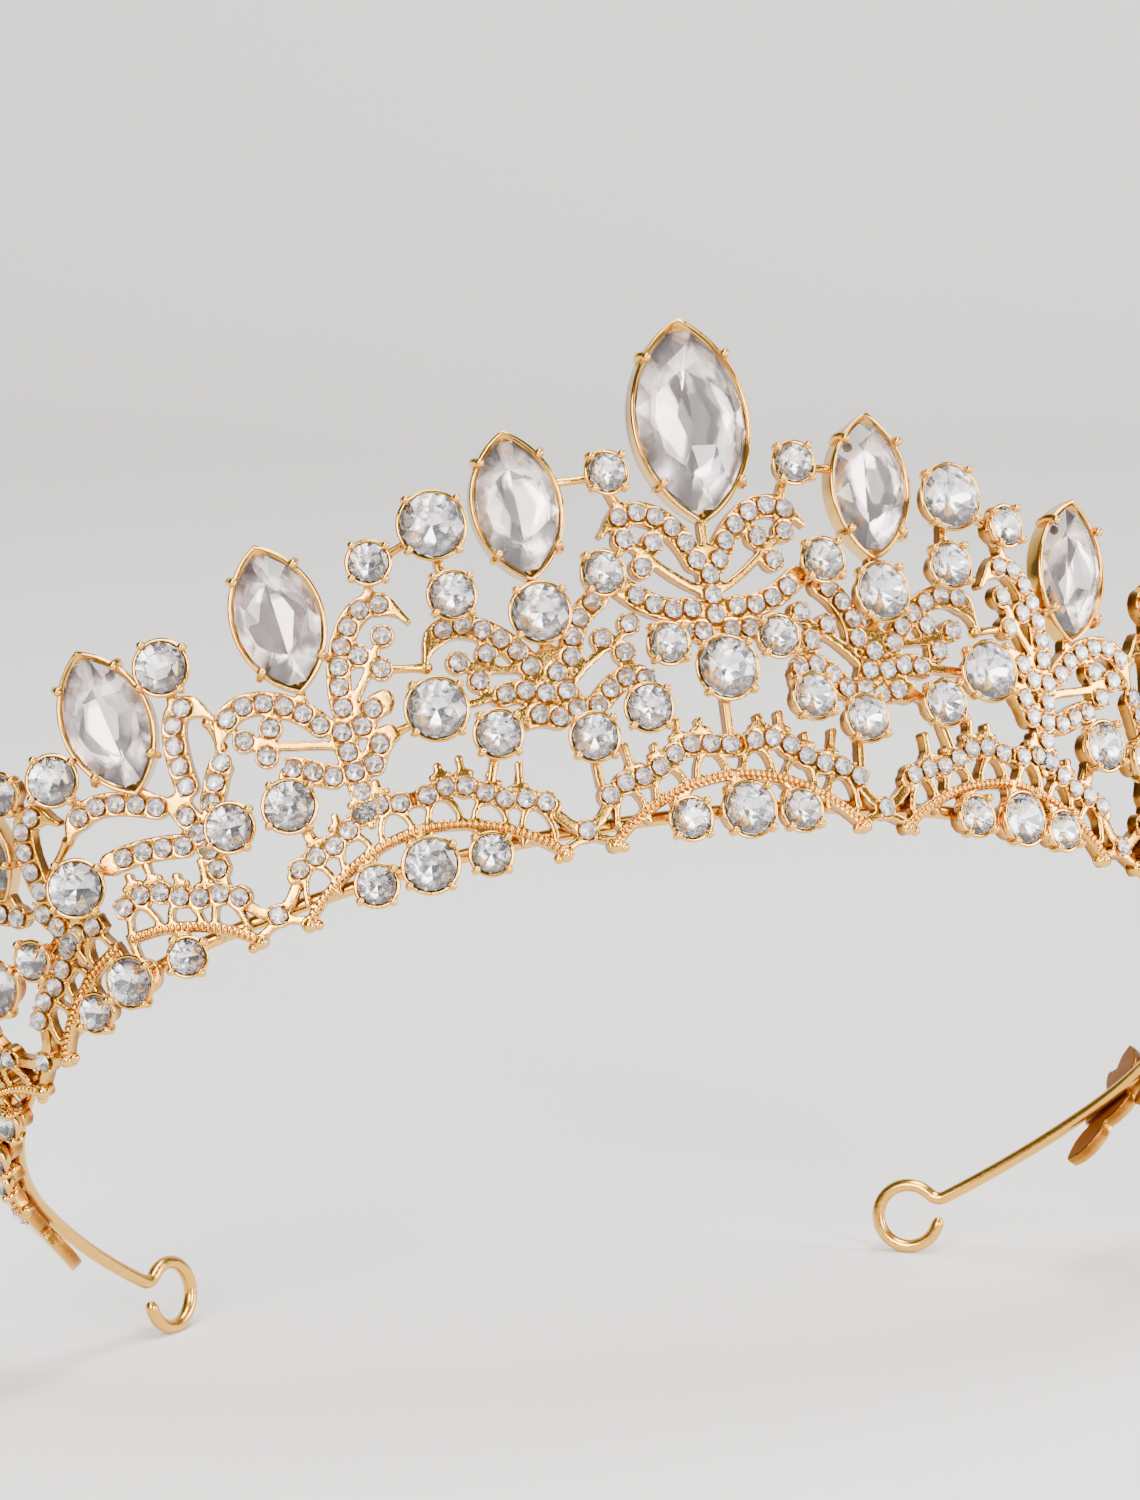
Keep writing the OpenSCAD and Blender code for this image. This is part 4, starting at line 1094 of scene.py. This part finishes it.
def bar_ends(points, faces):
    """Both ends of a straight bar."""
    own = points[np.unique(faces)]
    middle = own.mean(0)
    _, _, rows = np.linalg.svd(own - middle, full_matrices=False)
    reach = (own - middle) @ rows[0]
    return Vector(middle + rows[0] * reach.min()), Vector(middle + rows[0] * reach.max())


for node in ("link_bars_left", "link_bars_right"):
    lines, blobs = [], []
    for points, faces in loose_parts(node):
        start, end = bar_ends(points, faces)
        lines.append([(start.lerp(end, i / 8), (BAR_R + BAR_FLARE * abs(i / 4 - 1) ** 3) * MM)
                      for i in range(9)])
        blobs += [(p, end - start, BLOB_R * MM) for p in (start, end)]
    data = tubes(node + "_drawn", lines, 12, GOLD)
    piece(node + "_drawn", data, "cast_gold", node)
    beads(node + "_solder", blobs, "cast_gold", GOLD)

# %% [markdown]
# ## Finials
# A finial stands on the lace's row: a flame-shaped spike with a ball at its tip and one at each side
# of its foot. The casting has the spikes as flat bars. Modelling them in the casting would need finer
# voxels, so a tapered tube is laid over each one, at the CAD model's own places.

# %%  Spikes and balls of the finials
# share of the arch's half width, height of the tip, and how far the tip leans to the arch's end
FINIALS = [(0.21, 1.0, 0), (0.38, 1.6, 0), (0.57, 1.0, 0.1), (0.76, 2.2, 0.7)]
ROW_W = 2.5  # width of the row of small stones
FINIAL_FOOT, FINIAL_TIP, FINIAL_BALL = 0.72, 0.30, 0.40  # radii, in mm


def finial(k, side, way, share, height, lean):
    """One finial's tapered line and its three balls."""
    a = half_of(k)
    u, v = way * share * a, row_v(share * a, a) + ROW_W / 2
    out = lace_out(k, side, u, v)
    tip = lace_place(k, side, u + way * lean, v + height, PLATE_T * 0.6)
    foot = lace_place(k, side, u, v - 0.5, PLATE_T * 0.6)
    line = [(foot.lerp(tip, t), (FINIAL_FOOT + (FINIAL_TIP - FINIAL_FOOT) * t ** 0.7) * MM)
            for t in (0, 0.3, 0.6, 0.85, 1)]
    balls = [(tip, out, FINIAL_BALL * MM)]
    balls += [(lace_place(k, side, u + x, v - 0.05, PLATE_T * 0.8), out, FINIAL_BALL * MM)
              for x in (-0.8, 0.8)]
    return line, balls


finials = [finial(k, side, way, *shape) for k, side in LACE_SIDES for way in (-1, 1)
           for shape in FINIALS]
data = tubes("lace_finials", [line for line, _ in finials], 8, GOLD)
piece("lace_finials", data, "cast_gold")
beads("lace_finial_balls", [b for _, balls in finials for b in balls], "cast_gold", GOLD)
print(len(finials), "finials")

# %% [markdown]
# ## Floor and light
# Jewellery shows whatever surrounds it, so the light does half of the work. The floor and backdrop are
# plain and pale. Three large soft panels give long, clean highlights, and the dim room between them
# gives the metal and the stones something dark to set the bright parts against.

# %%  Floor, backdrop and lights
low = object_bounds()[0].z
FLOOR_HALF, SWEEP_BACK, SWEEP_R, SWEEP_TOP = 1.6, 0.75, 0.30, 1.5


def sweep():
    """A pale sheet that lies under the tiara and curves up behind it."""
    view = Vector((math.sin(VIEW_YAW), math.cos(VIEW_YAW), 0))
    side = Vector((view.y, -view.x, 0))
    line = [(-2.2, 0.0), (SWEEP_BACK, 0.0)]
    for i in range(1, 13):
        a = math.pi / 2 * i / 12
        line.append((SWEEP_BACK + SWEEP_R * math.sin(a), SWEEP_R * (1 - math.cos(a))))
    line.append((SWEEP_BACK + SWEEP_R, SWEEP_TOP))
    data = bpy.data.meshes.new("floor")
    rows = [[tuple(view * d + side * x + Vector((0, 0, low + h))) for x in (-FLOOR_HALF, FLOOR_HALF)]
            for d, h in line]
    data.from_pydata([p for row in rows for p in row], [],
                     [(2 * i, 2 * i + 1, 2 * i + 3, 2 * i + 2) for i in range(len(rows) - 1)])
    data.polygons.foreach_set("use_smooth", [True] * len(data.polygons))
    return data


floor = linked("floor", sweep())
paper = Shader("pale paper", Roughness=0.85)
paper.feed(Base_Color=paper.blend(paper.noise(3.0), (0.74, 0.73, 0.72, 1), (0.78, 0.77, 0.76, 1)))
floor.data.materials.append(paper.material)
floor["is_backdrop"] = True


def panel(name, where, width, height, power, colour=(1, 1, 1)):
    """A soft panel light that faces the crown."""
    light = bpy.data.lights.new(name, "AREA")
    light.shape, light.size, light.size_y = "RECTANGLE", width, height
    light.energy, light.color = power, colour
    made = linked(name, light)
    made.location = where
    made.rotation_euler = (Vector(where) - Vector((0, 0, 0.02))).to_track_quat("Z", "Y").to_euler()


panel("key panel", (-0.65, -0.75, 0.55), 0.50, 0.50, 21, (1.0, 0.97, 0.93))
panel("front panel", (0.30, -0.95, 0.30), 0.22, 0.45, 10, (1.0, 0.98, 0.96))
panel("top panel", (0.10, -0.10, 1.0), 0.9, 0.40, 18)
panel("side panel", (0.85, -0.35, 0.35), 0.25, 0.7, 12, (1.0, 0.96, 0.92))
world = bpy.data.worlds.new("room")
world.use_nodes = True
world.node_tree.nodes["Background"].inputs["Color"].default_value = (0.75, 0.77, 0.80, 1)
world.node_tree.nodes["Background"].inputs["Strength"].default_value = 0.20
bpy.context.scene.world = world

# %% [markdown]
# ## Check the size
# The looks must not change the object's size, so the box before and after is written down side by side.

# %% Compare sizes
seen_box = [list(corner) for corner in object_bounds()]
print("grown by, mm:", [round((b - a) / MM, 2) for pair in zip(cad_box, seen_box) for a, b in zip(*pair)])
